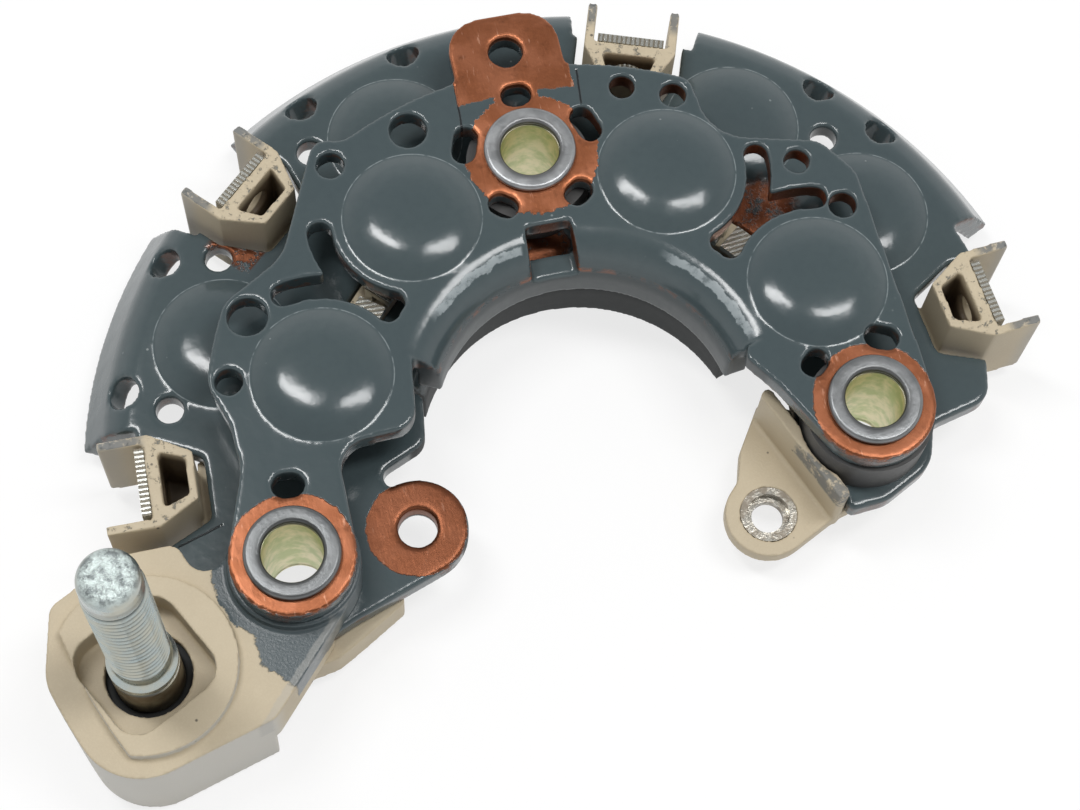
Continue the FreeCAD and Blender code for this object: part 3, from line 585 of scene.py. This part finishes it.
@dataclass(frozen=True)
class BeigeMoulding:
    """Satin beige glass-filled plastic with grey overspray along its worn edges.

    Attributes:
        name: the material's name.
        colour: the clean plastic.
        overspray: how much grey coating lies on it.
    """

    name: str
    colour: Colour = BEIGE
    overspray: float = 1.0

    def pocket_shade(self, shader: Shader) -> Term:
        """Mask of the painted shade deep in the pockets behind the clips' webs.

        Args:
            shader: its node tree.

        Returns:
            1 deep in the pockets.
        """
        x, y, z = shader.axes()
        masks = []
        for angle, face in CLIPS.values():
            turn = math.radians(angle)
            along = x * math.cos(turn) + y * math.sin(turn) - (face - 4.8)
            across = (y * math.cos(turn) - x * math.sin(turn)).absolute()
            masks.append(along.rise(-0.6, -0.3) & along.rise(3.3, 3.1)
                         & (across - along * 0.37).rise(2.5, 2.3))
        return reduce(Term.__or__, masks) & z.rise(12.75, 11.2)

    def sprayed(self, shader: Shader, ragged: Term) -> Term:
        """Mask of the grey coating that went on to the plastic.

        Args:
            shader: its node tree.
            ragged: noise in millimetres for its edges.

        Returns:
            How much of it there is, from 0 to 1.
        """
        x, y, z = shader.axes()
        near = shader.from_point(RIVETS["left"]) + ragged * 0.5
        collar = near.rise(8.0, 7.8) & z.rise(8.0, 8.6)
        neck = ((x + ragged * 0.5).rise(-35.9, -35.6)
                & (x + y + ragged * 0.9).rise(-54.3, -54.0)
                & y.rise(-4.0, -5.5) & x.rise(-28.0, -29.0) & z.rise(8.4, 8.8))
        nicks = (shader.noise(0.8, 4.0, 0.75).rise(0.56, 0.66) & z.rise(12.7, 12.9)
                 & (x * x + y * y).rise(900.0, 1000.0) & shader.facing().rise(*TOP)
                 & (1.0 - shader.from_point(STUD).rise(12.6, 12.0)))
        return (collar | neck) * self.overspray | nicks * 0.75 * self.overspray

    def build(self) -> Material:
        """Make the material.

        Returns:
            The plastic.
        """
        shader = Shader(self.name)
        x, y, z = shader.axes()
        up = shader.facing()
        cloud = shader.noise(7.0, 3.0, 0.6)
        fibres = shader.noise(0.22, 2.0, 0.6)
        ragged = (shader.noise(1.3, 4.0, 0.7) - 0.5) * 2.6
        # Paler grey-beige on the boss's front walls.
        side = up.absolute().rise(*WALL) * y.rise(-15.0, -19.0) * x.rise(-34.0, -36.0)
        grey = self.sprayed(shader, ragged)
        reach = x * x + y * y
        off_boss = shader.from_point(STUD).rise(15.5, 16.5)
        arms = reach.rise(1980.0, 2180.0) & off_boss
        tips = reach.rise(1840.0, 1960.0) & off_boss & up.rise(*TOP)
        strip = (x + 28.3) * 0.727 - (y + 15.7) * 0.686 + ragged * 0.25
        strip = strip.absolute().rise(0.45, 0.25) & y.rise(-15.2, -15.8) & z.rise(8.4, 8.8)
        wall = (x - 16.5) * 0.836 + (y + 3.3) * 0.549 + ragged * 0.2
        wall = wall.absolute().rise(0.95, 0.75) & z.rise(8.2, 8.8) & y.rise(-2.0, -2.5)
        rub = (tips | wall) * shader.noise(1.0, 4.0, 0.7).rise(0.36, 0.5)
        base = shader.layers(
            self.colour,
            (cloud.rise(0.3, 0.7) * 0.5, BEIGE_DEEP),
            (fibres.rise(0.4, 0.8) * 0.2, BEIGE_FIBRE),
            (side * (0.75 + cloud * 0.2), BEIGE_PALE_WALL),
            # Painted shade in the clips' pockets.
            (self.pocket_shade(shader) * 0.9, BEIGE_POCKET_SHADE),
            (grey, OVERSPRAY),
            (arms * (0.35 + cloud * 0.5) | strip * 0.4, BEIGE_GREYED),
            (rub * 0.8, BEIGE_RUBBED),
            (shader.cells(3.4).rise(0.06, 0.03) * 0.8, BEIGE_DIRT))
        relief = shader.bump(grey, 0.08, shader.bump(fibres, 0.02))
        return shader.surface(
            Base_Color=base, Roughness=shader.blend(grey, 0.46 + fibres * 0.12, 0.28),
            Normal=relief, Specular_IOR_Level=0.4)


@dataclass(frozen=True)
class ZincSteel:
    """Bright zinc-plated steel of the stud, with its brownish ground shoulder.

    Attributes:
        shoulder_top: level in millimetres that the brown shoulder reaches.
        soft: half the height over which it fades.
    """

    shoulder_top: float = 14.3
    soft: float = 0.15

    def build(self) -> Material:
        """Make the material.

        Returns:
            The stud's steel.
        """
        shader = Shader("zinc_steel")
        _, _, z = shader.axes()
        tint = shader.noise(2.4, 3.0, 0.6)
        pits = shader.noise(0.9, 4.0, 0.7)
        # Painted shade in the thread's valleys.
        valley_shade = shader.from_point(STUD).rise(2.88, 2.64) & z.rise(17.4, 18.0) & z.rise(39.0, 38.0)
        crop = z.rise(40.2, 40.9)
        brown = z.rise(self.shoulder_top + self.soft, self.shoulder_top - self.soft)
        colour = shader.layers(
            ZINC_COOL,
            (tint.rise(0.3, 0.7), ZINC_WARM),
            (shader.noise(0.5, 4.0, 0.7).rise(0.6, 0.8) * 0.5, ZINC_STAIN),
            (valley_shade * 0.9, THREAD_VALLEY_SHADE),
            (crop, shader.mix(pits.rise(0.4, 0.65), CROP_BRIGHT, CROP_DARK)),
            (brown, shader.mix(tint.rise(0.35, 0.65), SHOULDER_DARK, SHOULDER_LIGHT)))
        rough = shader.blend(brown | crop, 0.22 + tint * 0.12, 0.42)
        relief = shader.bump(pits * crop, 0.35, shader.bump(shader.noise(0.5, 3.0, 0.6), 0.02))
        return shader.surface(Base_Color=colour, Roughness=rough, Metallic=0.95, Normal=relief)


@dataclass(frozen=True)
class RivetSteel:
    """Plain steel flange of a hollow rivet with yellow-green passivation down its bore.

    Attributes:
        bore: radius in millimetres of the bore.
    """

    bore: float = 2.95

    def build(self) -> Material:
        """Make the material.

        Returns:
            The rivets' steel.
        """
        shader = Shader("rivet_steel")
        x, y, z = shader.axes()
        near = shader.nearest(RIVETS.values())
        inside = near.rise(self.bore + 0.25, self.bore + 0.1) & z.rise(16.3, 15.7)
        # Painted shade on the flange's rounded lip where it turns down into the bore.
        throat_shade = near.rise(3.75, 3.2) & z.rise(15.9, 16.2)
        shade = y.rise(16.0, 8.0) * 0.35 + 0.28 + x.rise(-20.0, -28.0) * 0.15
        tint = shader.noise(1.9, 3.0, 0.6)
        colour = shader.layers(
            RIVET_DARK,
            (tint.rise(0.3, 0.7), RIVET_BRIGHT),
            (throat_shade * 0.7, RIVET_THROAT_SHADE),
            (shade, RIVET_SHADE),
            (inside, shader.mix(tint.rise(0.35, 0.65), BORE_GREEN, BORE_YELLOW)))
        rough = shader.blend(inside, 0.3 + tint * 0.14, 0.4)
        relief = shader.bump(shader.noise(0.6, 4.0, 0.65), 0.03)
        return shader.surface(Base_Color=colour, Roughness=rough, Metallic=0.9, Normal=relief)


@dataclass(frozen=True)
class TinnedCopper:
    """Tinned copper strip, scraped and dirty on the ends that show.

    Attributes:
        name: the material's name.
        tin: the bright coat.
        under: what shows through the scrapes.
        lines: direction in degrees about the shaft of the shearing lines, or None for none.
        pace: how close those lines are, in radians of their wave for each millimetre.
        grain: size in millimetres of the scrapes.
        depth: their depth in millimetres.
    """

    name: str
    tin: Colour = TIN
    under: Colour = TIN_UNDER
    lines: Optional[float] = None
    pace: float = 13.0
    grain: float = 0.45
    depth: float = 0.1

    def build(self) -> Material:
        """Make the material.

        Returns:
            The tinned or plain metal.
        """
        shader = Shader(self.name)
        grit = shader.noise(self.grain, 4.0, 0.75)
        worn = grit.rise(0.42, 0.6)
        if self.lines is not None:
            turn = math.radians(self.lines)
            x, y, _ = shader.axes()
            across = x * -math.sin(turn) + y * math.cos(turn) + grit * 0.25
            wave = shader.node("ShaderNodeMath", {"operation": "SINE"}, {0: across * self.pace})
            cut = ((wave * 0.5 + 0.5) * 0.75 + grit * 0.6).rise(0.55, 0.95)
            flat = grit.rise(0.5, 0.8) * 0.25 + 0.2
            worn = shader.blend(shader.facing().rise(0.4, 0.7), flat, cut)
        return shader.surface(
            Base_Color=shader.mix(worn, self.tin, self.under), Roughness=0.26 + worn * 0.25,
            Metallic=0.8, Normal=shader.bump(1.0 - worn, self.depth))


@dataclass(frozen=True)
class DarkResin:
    """Dark cast resin of the diode beads and plastic of the bushes.

    Attributes:
        name: the material's name.
        colour: the resin.
        shine: its roughness.
    """

    name: str
    colour: Colour = RESIN
    shine: float = 0.3

    def build(self) -> Material:
        """Make the material.

        Returns:
            The resin.
        """
        shader = Shader(self.name)
        cloud = shader.noise(2.0, 3.0, 0.6)
        colour = shader.mix(cloud.rise(0.3, 0.7) * 0.6, self.colour, RESIN_CLOUD)
        relief = shader.bump(shader.noise(0.8, 2.0, 0.5), 0.03)
        return shader.surface(Base_Color=colour, Roughness=self.shine + cloud * 0.12, Normal=relief)


def dress(piece: Object, material: Material) -> None:
    """Give a piece one material on every face.

    Args:
        piece: the mesh object.
        material: its finish.
    """
    slots = piece.data.materials
    if not slots:
        slots.append(material)
    for index in range(len(slots)):
        slots[index] = material


def plain_mesh(piece: Object) -> None:
    """Turn a piece's modifiers into its own mesh.

    Args:
        piece: the object to finish.
    """
    graph = bpy.context.evaluated_depsgraph_get()
    made = bpy.data.meshes.new_from_object(
        piece.evaluated_get(graph), preserve_all_data_layers=True, depsgraph=graph)
    old = piece.data
    piece.modifiers.clear()
    piece.data = made
    made.name = piece.name
    bpy.data.meshes.remove(old)


def merge_points(mesh: Mesh, distance: float, turn_out: bool = False) -> None:
    """Join the points of a mesh that lie together.

    Args:
        mesh: the mesh, in metres.
        distance: how near they lie, in millimetres.
        turn_out: whether its faces are turned outwards too.
    """
    shape = bmesh.new()
    shape.from_mesh(mesh)
    bmesh.ops.remove_doubles(shape, verts=shape.verts, dist=distance * MM)
    if turn_out:
        bmesh.ops.recalc_face_normals(shape, faces=shape.faces)
    shape.to_mesh(mesh)
    shape.free()


def new_piece(name: str, mesh: Mesh) -> Object:
    """Link a mesh as an object.

    Args:
        name: the piece's name.
        mesh: its mesh, in metres in the part's frame.

    Returns:
        The object.
    """
    piece = bpy.data.objects.new(name, mesh)
    bpy.context.scene.collection.objects.link(piece)
    return piece


def stand_for(piece: Object, slot: str, *nodes: str) -> None:
    """Fix a finished piece to the part in place of its CAD nodes.

    Args:
        piece: the piece, with no modifiers left.
        slot: the record's material slot; not used.
        nodes: the CAD nodes that it replaces.
    """
    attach(piece, "root")
    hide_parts(*nodes)


def keep_inside(mesh: Mesh, node: str) -> None:
    """Hold a mesh inside the box of its CAD node.

    Args:
        mesh: the mesh, in metres in the part's frame.
        node: the CAD node.
    """
    low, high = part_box(node)
    for point in mesh.vertices:
        for axis in range(3):
            point.co[axis] = min(max(point.co[axis], low[axis]), high[axis])


@dataclass(frozen=True)
class DiodeSeat:
    """Swelling profile of the round seats pressed up for the diodes.

    Attributes:
        foot: radius in millimetres at the sheet.
        rise: height over the sheet.
        swell: power of the fall towards the foot.
        skin: depth under the sheet's top from which points are lifted.
    """

    foot: float = 6.95
    rise: float = 1.45
    swell: float = 3.0
    skin: float = 0.2

    def shape(self, mesh: Mesh, centres: Iterable[Point], top: float) -> None:
        """Lift the sheet's points over each seat on to its profile.

        Args:
            mesh: the plate's mesh in metres.
            centres: the seats' axes in millimetres.
            top: the sheet's upper level in millimetres.
        """
        for x, y in centres:
            for point in mesh.vertices:
                away = math.hypot(point.co.x / MM - x, point.co.y / MM - y)
                if away < self.foot and point.co.z / MM > top - self.skin:
                    swollen = self.rise * (1.0 - (away / self.foot) ** self.swell)
                    point.co.z = (top + swollen) * MM


@dataclass(frozen=True)
class SoftEdge:
    """Soft edges of a coating or a moulding, given to a copy of a CAD node.

    Attributes:
        grain: size in millimetres of the even mesh that the copy is first given.
        passes: how often that mesh is smoothed.
        keep: share of its faces that stay.
    """

    grain: float
    passes: int
    keep: float

    def soften(self, node: str, name: str, slot: str) -> Object:
        """Copy a CAD node with soft edges, standing for that node.

        Args:
            node: the CAD node.
            name: the new piece's name.
            slot: the record's material slot.

        Returns:
            The new piece.
        """
        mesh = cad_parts[node].data.copy()
        mesh.name = name
        merge_points(mesh, 0.002)
        piece = new_piece(name, mesh)
        even = piece.modifiers.new("even", "REMESH")
        even.mode = "VOXEL"
        even.voxel_size = self.grain * MM
        soft = piece.modifiers.new("soft", "SMOOTH")
        soft.factor = 0.5
        soft.iterations = self.passes
        piece.modifiers.new("thin", "DECIMATE").ratio = self.keep
        plain_mesh(piece)
        keep_inside(piece.data, node)
        piece.data.shade_smooth()
        stand_for(piece, slot, node)
        return piece


@dataclass
class HeatSinks:
    """The two coated copper plates.

    Attributes:
        edge: how the coating softens them.
        seat: profile of the diode seats.
    """

    edge: SoftEdge = SoftEdge(grain=0.27, passes=5, keep=0.45)
    seat: DiodeSeat = DiodeSeat()

    def build(self) -> list[Object]:
        """Round and coat both plates.

        Returns:
            The pieces.
        """
        pieces = []
        for deck, seats, top in ((Deck.UPPER, UPPER_SEATS, UPPER_TOP),
                                 (Deck.LOWER, LOWER_SEATS, LOWER_TOP)):
            node, name = deck.value + "_heat_sink", deck.value + "_plate"
            piece = self.edge.soften(node, name, "painted_copper")
            self.seat.shape(piece.data, seats, top)
            dress(piece, SlateCoating(deck).build())
            pieces.append(piece)
        return pieces


@dataclass
class Mouldings:
    """The terminal block, the stud boss and the hidden bushes.

    Attributes:
        edge: how the mould rounds them.
    """

    edge: SoftEdge = SoftEdge(grain=0.2, passes=2, keep=0.3)

    def build(self) -> list[Object]:
        """Round and colour the mouldings.

        Returns:
            The block and the boss.
        """
        beige = BeigeMoulding("beige_moulding").build()
        pieces = []
        for node, name in (("terminal_block", "block_moulding"), ("stud_boss", "boss_moulding")):
            piece = self.edge.soften(node, name, "moulding")
            dress(piece, beige)
            pieces.append(piece)
        dark = DarkResin("bush_moulding", BUSH, 0.45).build()
        for node in ("insulating_bush_top", "insulating_bush_right"):
            dress(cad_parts[node], dark)
        return pieces


class TurnedTree:
    """Geometry node tree with named sizes and one call that adds any node."""

    def __init__(self, name: str, sizes: Iterable[str]) -> None:
        """Start a tree that takes a mesh and sizes, and gives a mesh.

        Args:
            name: the tree's name.
            sizes: the names of its sizes.
        """
        self.tree: NodeTree = bpy.data.node_groups.new(name, "GeometryNodeTree")
        face = self.tree.interface
        face.new_socket("Geometry", in_out="INPUT", socket_type="NodeSocketGeometry")
        for size in sizes:
            face.new_socket(size, in_out="INPUT", socket_type="NodeSocketFloat")
        face.new_socket("Geometry", in_out="OUTPUT", socket_type="NodeSocketGeometry")
        self.inlet = self.tree.nodes.new("NodeGroupInput").outputs

    def node(self, kind: str, inputs: dict[Any, Any], **settings: Any) -> NodeSocket:
        """Add any node.

        Args:
            kind: the node's type.
            inputs: a value, a socket or a list of sockets, by socket name or number.
            settings: attributes of the node, which are set first.

        Returns:
            Its first output.
        """
        made = self.tree.nodes.new(kind)
        for key, value in settings.items():
            setattr(made, key, value)
        for key, value in inputs.items():
            for each in value if isinstance(value, list) else [value]:
                if isinstance(each, NodeSocket):
                    self.tree.links.new(each, made.inputs[key])
                else:
                    made.inputs[key].default_value = each
        return made.outputs[0] if made.outputs else made.inputs[0]

    def math(self, operation: str, first: Any, second: Any) -> NodeSocket:
        """Math node on two values."""
        return self.node("ShaderNodeMath", {0: first, 1: second}, operation=operation)


@dataclass
class HollowRivets:
    """The three hollow rivets, placed by Geometry Nodes.

    Attributes:
        bore: inner radius in millimetres.
        wall: thickness of the barrel.
        flange: outer radius of the rolled flange.
        lip: thickness of the flange.
        foot: level of the lower flange's underside.
        seat: level that the upper flange lies on.
        barrel_round: radius of the barrel's edges.
        flange_round: radius of the upper flange's edges.
        foot_round: radius of the lower flange's edges.
        around: facets round the bore.
        steps: facets of each rounded edge.
    """

    bore: float = 2.95
    wall: float = 0.55
    flange: float = 4.65
    lip: float = 0.9
    foot: float = 3.2
    seat: float = UPPER_TOP
    barrel_round: float = 0.05
    flange_round: float = 0.44
    foot_round: float = 0.25
    around: int = 96
    steps: int = 6

    def ring(self, tree: TurnedTree, width: Any, low: Any, high: Any, edge: float) -> NodeSocket:
        """Turn one ring whose section is a rounded rectangle beside the bore.

        Args:
            tree: the tree to add nodes to.
            width: the section's width.
            low: level of its underside.
            high: level of its top.
            edge: radius of its corners in millimetres.

        Returns:
            The ring's mesh.
        """
        section = {}
        for index, (x, y) in enumerate(((0.0, low), (width, low), (width, high), (0.0, high)), 1):
            down = tree.math("MULTIPLY", y, -1.0)
            section["Point %d" % index] = tree.node("ShaderNodeCombineXYZ", {0: x, 1: down})
        profile = tree.node("GeometryNodeCurvePrimitiveQuadrilateral", section, mode="POINTS")
        profile = tree.node(
            "GeometryNodeFilletCurve",
            {"Curve": profile, "Count": self.steps, "Radius": edge * MM, "Limit Radius": True},
            mode="POLY")
        path = tree.node("GeometryNodeCurvePrimitiveCircle",
                         {"Resolution": self.around, "Radius": tree.inlet["Bore"]})
        path = tree.node("GeometryNodeSetCurveNormal", {"Curve": path}, mode="Z_UP")
        return tree.node("GeometryNodeCurveToMesh", {"Curve": path, "Profile Curve": profile})

    def turned(self, material: Material, sizes: Iterable[str]) -> NodeTree:
        """Node tree that turns one rivet and puts it on every point of the base mesh.

        Args:
            material: the rivets' finish.
            sizes: the names of its sizes.

        Returns:
            The tree.
        """
        tree = TurnedTree("hollow_rivets", sizes)
        inlet = tree.inlet
        flange_top = tree.math("ADD", inlet["Seat"], inlet["Lip"])
        foot_top = tree.math("ADD", inlet["Foot"], inlet["Lip"])
        reach = tree.math("SUBTRACT", inlet["Flange"], inlet["Bore"])
        rings = [self.ring(tree, inlet["Wall"], inlet["Foot"], inlet["Seat"], self.barrel_round),
                 self.ring(tree, reach, inlet["Seat"], flange_top, self.flange_round),
                 self.ring(tree, reach, inlet["Foot"], foot_top, self.foot_round)]
        rivet = tree.node("GeometryNodeJoinGeometry", {0: rings})
        rivet = tree.node("GeometryNodeSetShadeSmooth", {0: rivet})
        spread = tree.node("GeometryNodeInstanceOnPoints",
                           {"Points": inlet["Geometry"], "Instance": rivet})
        real = tree.node("GeometryNodeRealizeInstances", {0: spread})
        paint = tree.node("GeometryNodeSetMaterial", {0: real, "Material": material})
        tree.node("NodeGroupOutput", {0: paint})
        return tree.tree

    def build(self) -> list[Object]:
        """Make the rivets in place of the CAD ones.

        Returns:
            The piece.
        """
        material = RivetSteel(self.bore).build()
        mesh = bpy.data.meshes.new("rivets")
        mesh.from_pydata([(x * MM, y * MM, 0.0) for x, y in RIVETS.values()], [], [])
        piece = new_piece("rivets", mesh)
        sizes = {name.capitalize(): getattr(self, name)
                 for name in ("bore", "wall", "flange", "lip", "foot", "seat")}
        modifier = piece.modifiers.new("rivets", "NODES")
        modifier.node_group = self.turned(material, sizes)
        for item in modifier.node_group.interface.items_tree:
            if item.name in sizes:
                modifier[item.identifier] = sizes[item.name] * MM
        plain_mesh(piece)
        merge_points(piece.data, 0.001, turn_out=True)
        piece.data.set_sharp_from_angle(angle=math.radians(50.0))
        dress(piece, material)
        stand_for(piece, "zinc_steel", *("hollow_rivet_" + name for name in RIVETS))
        return [piece]


@dataclass
class OutputStud:
    """The output stud with its cut thread and cropped end.

    Attributes:
        pitch: thread pitch in millimetres.
        crest: radius over the thread.
        root: radius at the bottom of the thread.
        body: radius where the thread runs out.
        thread_start: level where the thread starts.
        run_in: height over which it gets its full depth.
        plain_end: height under the top that has no thread.
        top: level of the cropped end.
        crop: height of the end's rounded shoulder.
        crop_core: radius inside that shoulder.
        step: height between two loops of points.
        around: facets round the stud.
        profile: radius and level of the loops below the thread.
    """

    pitch: float = 1.0
    crest: float = 2.95
    root: float = 2.52
    body: float = 2.78
    thread_start: float = 17.6
    run_in: float = 1.2
    plain_end: float = 3.0
    top: float = 41.0
    crop: float = 1.3
    crop_core: float = 1.75
    step: float = 0.125
    around: int = 64
    profile: tuple[Point, ...] = (
        (0.02, 2.9), (4.75, 2.9), (5.0, 3.15), (5.0, 6.05), (4.8, 6.3), (3.35, 6.3),
        (3.35, 14.25), (3.12, 14.35), (3.12, 14.75), (3.35, 14.9), (3.35, 15.75), (3.1, 16.0),
        (2.85, 16.35))

    def radius(self, level: float, turn: float) -> float:
        """Radius of the threaded part at a level and a turn.

        Args:
            level: height in millimetres.
            turn: fraction of a turn about the axis.

        Returns:
            The radius in millimetres.
        """
        tooth = abs(((level / self.pitch) - turn) % 1.0 - 0.5) * 2.0
        depth = min(1.0, max(0.0, (tooth - 0.12) / 0.72))
        cut = self.root + (self.crest - self.root) * depth
        fade_low = min(1.0, max(0.0, (level - self.thread_start) / self.run_in))
        fade_high = min(1.0, max(0.0, self.top - self.plain_end - level))
        cut = self.body + (cut - self.body) * fade_low * fade_high
        climb = self.crop - (self.top - level)
        if climb > 0.0:
            shoulder = math.sqrt(max(0.0, self.crop ** 2 - climb ** 2)) * 0.8
            cut = min(cut, self.crop_core + shoulder)
        return cut

    def loop(self, level: float, size: Optional[float] = None) -> list[Vector]:
        """One loop of points about the stud's axis.

        Args:
            level: its height in millimetres.
            size: its radius, or None for the thread's own.

        Returns:
            The points in metres.
        """
        points = []
        for index in range(self.around):
            share = index / self.around
            angle = 2.0 * math.pi * share
            reach = self.radius(level, share) if size is None else size
            x, y = STUD[0] + reach * math.cos(angle), STUD[1] + reach * math.sin(angle)
            points.append(Vector((x, y, level)) * MM)
        return points

    def build(self) -> list[Object]:
        """Make the stud in place of the CAD one.

        Returns:
            The piece.
        """
        first = self.thread_start - 1.0
        steps = int((self.top - 0.01 - first) / self.step) + 1
        levels = [first + index * self.step for index in range(steps)] + [self.top - 0.005]
        rings = [self.loop(level, size) for size, level in self.profile]
        rings += [self.loop(level) for level in levels]
        rings += [self.loop(self.top, 1.0), self.loop(self.top - 0.12, 0.02)]
        shape = bmesh.new()
        loops = [[shape.verts.new(point) for point in ring] for ring in rings]
        for lower, upper in zip(loops, loops[1:]):
            for index in range(self.around):
                after = (index + 1) % self.around
                shape.faces.new((lower[index], lower[after], upper[after], upper[index]))
        shape.faces.new(list(reversed(loops[0])))
        shape.faces.new(loops[-1])
        bmesh.ops.recalc_face_normals(shape, faces=shape.faces)
        mesh = bpy.data.meshes.new("stud")
        shape.to_mesh(mesh)
        shape.free()
        mesh.shade_smooth()
        mesh.set_sharp_from_angle(angle=math.radians(38.0))
        piece = new_piece("stud", mesh)
        dress(piece, ZincSteel().build())
        stand_for(piece, "zinc_steel", "output_stud")
        return [piece]


@dataclass
class Conductors:
    """Phase terminals, diode beads, leads and the ear's eyelet, which keep their CAD shapes.

    Attributes:
        clips: angle in degrees about the shaft and radius in millimetres of each clip's face.
    """

    clips: dict[int, Point] = field(default_factory=lambda: dict(CLIPS))

    def build(self) -> list[Object]:
        """Dress the CAD nodes.

        Returns:
            The dressed nodes.
        """
        lead = TinnedCopper("bare_lead", LEAD, LEAD_UNDER).build()
        resin = DarkResin("diode_resin").build()
        eyelet = TinnedCopper("eyelet_metal", EYELET, EYELET_UNDER, grain=1.4, depth=0.02).build()
        finishes = {"ear_insert": eyelet}
        for clip, (angle, _) in self.clips.items():
            strip = TinnedCopper("tinned_strip_%d" % clip, lines=angle).build()
            for stem, material in (("phase_terminal", strip), ("upper_lead", lead),
                                   ("lower_lead", lead), ("upper_diode", resin),
                                   ("lower_diode", resin)):
                finishes["%s_%d" % (stem, clip)] = material
        for node, material in finishes.items():
            dress(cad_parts[node], material)
        return [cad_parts[node] for node in finishes]


@dataclass
class Studio:
    """Pale floor, soft lamps and the camera at the photograph's angle.

    Attributes:
        lens: focal length in millimetres.
        sensor: width of the sensor in millimetres.
        reach: distance of the lamps in millimetres.
        surround: strength of the even light.
        drop: how far the floor lies under the part, in millimetres.
        glow: strength of the floor's own white.
        pale: share of that white in what the camera sees.
        eye: the camera's place in millimetres.
        right: the camera's direction to the right.
        down: its direction down the picture.
        forward: its direction of view.
    """

    lens: float = 80.0
    sensor: float = 36.0
    reach: float = 600.0
    surround: float = 0.42
    drop: float = 0.2
    glow: float = 1.05
    pale: float = 0.72
    eye: tuple[float, float, float] = (-31.41, -80.63, 231.68)
    right: tuple[float, float, float] = (0.97578, -0.21532, 0.03895)
    down: tuple[float, float, float] = (-0.18662, -0.91183, -0.36571)
    forward: tuple[float, float, float] = (0.11426, 0.34958, -0.92991)

    def camera(self) -> None:
        """Stand the camera."""
        data = bpy.data.cameras.new("camera")
        data.lens = self.lens
        data.sensor_width = self.sensor
        data.clip_start, data.clip_end = 0.01, 10.0
        camera = bpy.data.objects.new("camera", data)
        back = (self.right, [-part for part in self.down], [-part for part in self.forward])
        turn = Matrix(back).transposed().to_4x4()
        camera.matrix_world = Matrix.Translation(Vector(self.eye) * MM) @ turn
        bpy.context.scene.collection.objects.link(camera)
        bpy.context.scene.camera = camera

    def floor(self) -> None:
        """Lay the pale floor that keeps a soft shadow and looks white to the camera."""
        shape = bmesh.new()
        bmesh.ops.create_grid(shape, x_segments=1, y_segments=1, size=3.0)
        mesh = bpy.data.meshes.new("floor")
        shape.to_mesh(mesh)
        shape.free()
        floor = new_piece("floor", mesh)
        floor.location = (0.0, 0.0, -self.drop * MM)
        shader = Shader("floor")
        rays = shader.node("ShaderNodeLightPath", output="Is Camera Ray")
        seen = reduce(Term.__or__, (shader.other(rays, "Is %s Ray" % kind)
                                    for kind in ("Camera", "Glossy", "Transmission")))
        matt = shader.node("ShaderNodeBsdfDiffuse", None, {"Color": FLOOR_GREY})
        glow = shader.node("ShaderNodeEmission", None, {"Color": WHITE, "Strength": self.glow})
        mixed = shader.node("ShaderNodeMixShader", None, {0: seen * self.pale, 1: matt, 2: glow})
        shader.end_with(mixed)
        dress(floor, shader.material)

    def lamp(self, name: str, way: Sequence[float], size: Sequence[float], power: float) -> None:
        """Hang one soft box that faces the part.

        Args:
            name: the lamp's name.
            way: direction of the lamp from the part.
            size: its width and height in millimetres.
            power: its power in watts.
        """
        data = bpy.data.lights.new(name, "AREA")
        data.shape = "RECTANGLE"
        data.size, data.size_y = size[0] * MM, size[1] * MM
        data.energy = power
        lamp = bpy.data.objects.new(name, data)
        lamp.location = Vector(way).normalized() * self.reach * MM
        lamp.rotation_mode = "QUATERNION"
        lamp.rotation_quaternion = (-Vector(way)).to_track_quat("-Z", "Y")
        bpy.context.scene.collection.objects.link(lamp)

    def world(self) -> None:
        """Set an even pale surround that is white to the camera and dimmer low down in metal."""
        world = bpy.data.worlds.new("surround")
        shader = Shader("surround", world)
        rays = shader.node("ShaderNodeLightPath", output="Is Camera Ray")
        through = rays | shader.other(rays, "Is Transmission Ray")
        glossy = shader.other(rays, "Is Glossy Ray")
        round_about = shader.node("ShaderNodeTexCoord", output="Generated")
        way = shader.node("ShaderNodeSeparateXYZ", None, {0: round_about}, "Z")
        dim, walls, white = (
            shader.node("ShaderNodeBackground", None, {"Color": WHITE, "Strength": strength})
            for strength in (self.surround, way.rise(0.95, 0.2) * 0.8 + 0.2, 1.0))
        lit = shader.node("ShaderNodeMixShader", None, {0: glossy, 1: dim, 2: walls})
        whole = shader.node("ShaderNodeMixShader", None, {0: through, 1: lit, 2: white})
        shader.end_with(whole, "ShaderNodeOutputWorld")
        bpy.context.scene.world = world

    def build(self) -> None:
        """Set the whole studio."""
        self.camera()
        self.floor()
        self.world()
        self.lamp("left_box", (-0.27, 0.24, 0.93), (85, 240), 1.25)
        self.lamp("right_box", (0.32, -0.02, 0.95), (110, 250), 1.25)


def main() -> None:
    """Build the looks in order and report each piece."""
    logging.basicConfig(level=logging.INFO, format="%(name)s: %(message)s")
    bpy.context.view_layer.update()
    for assembly in (HeatSinks(), Mouldings(), HollowRivets(), OutputStud(), Conductors()):
        for piece in assembly.build():
            faces = len(piece.data.polygons)
            log.info("%s: %s, %d faces", type(assembly).__name__, piece.name, faces)
    Studio().build()
    bpy.context.scene.view_settings.view_transform = "Standard"


if __name__ == "__main__":
    main()
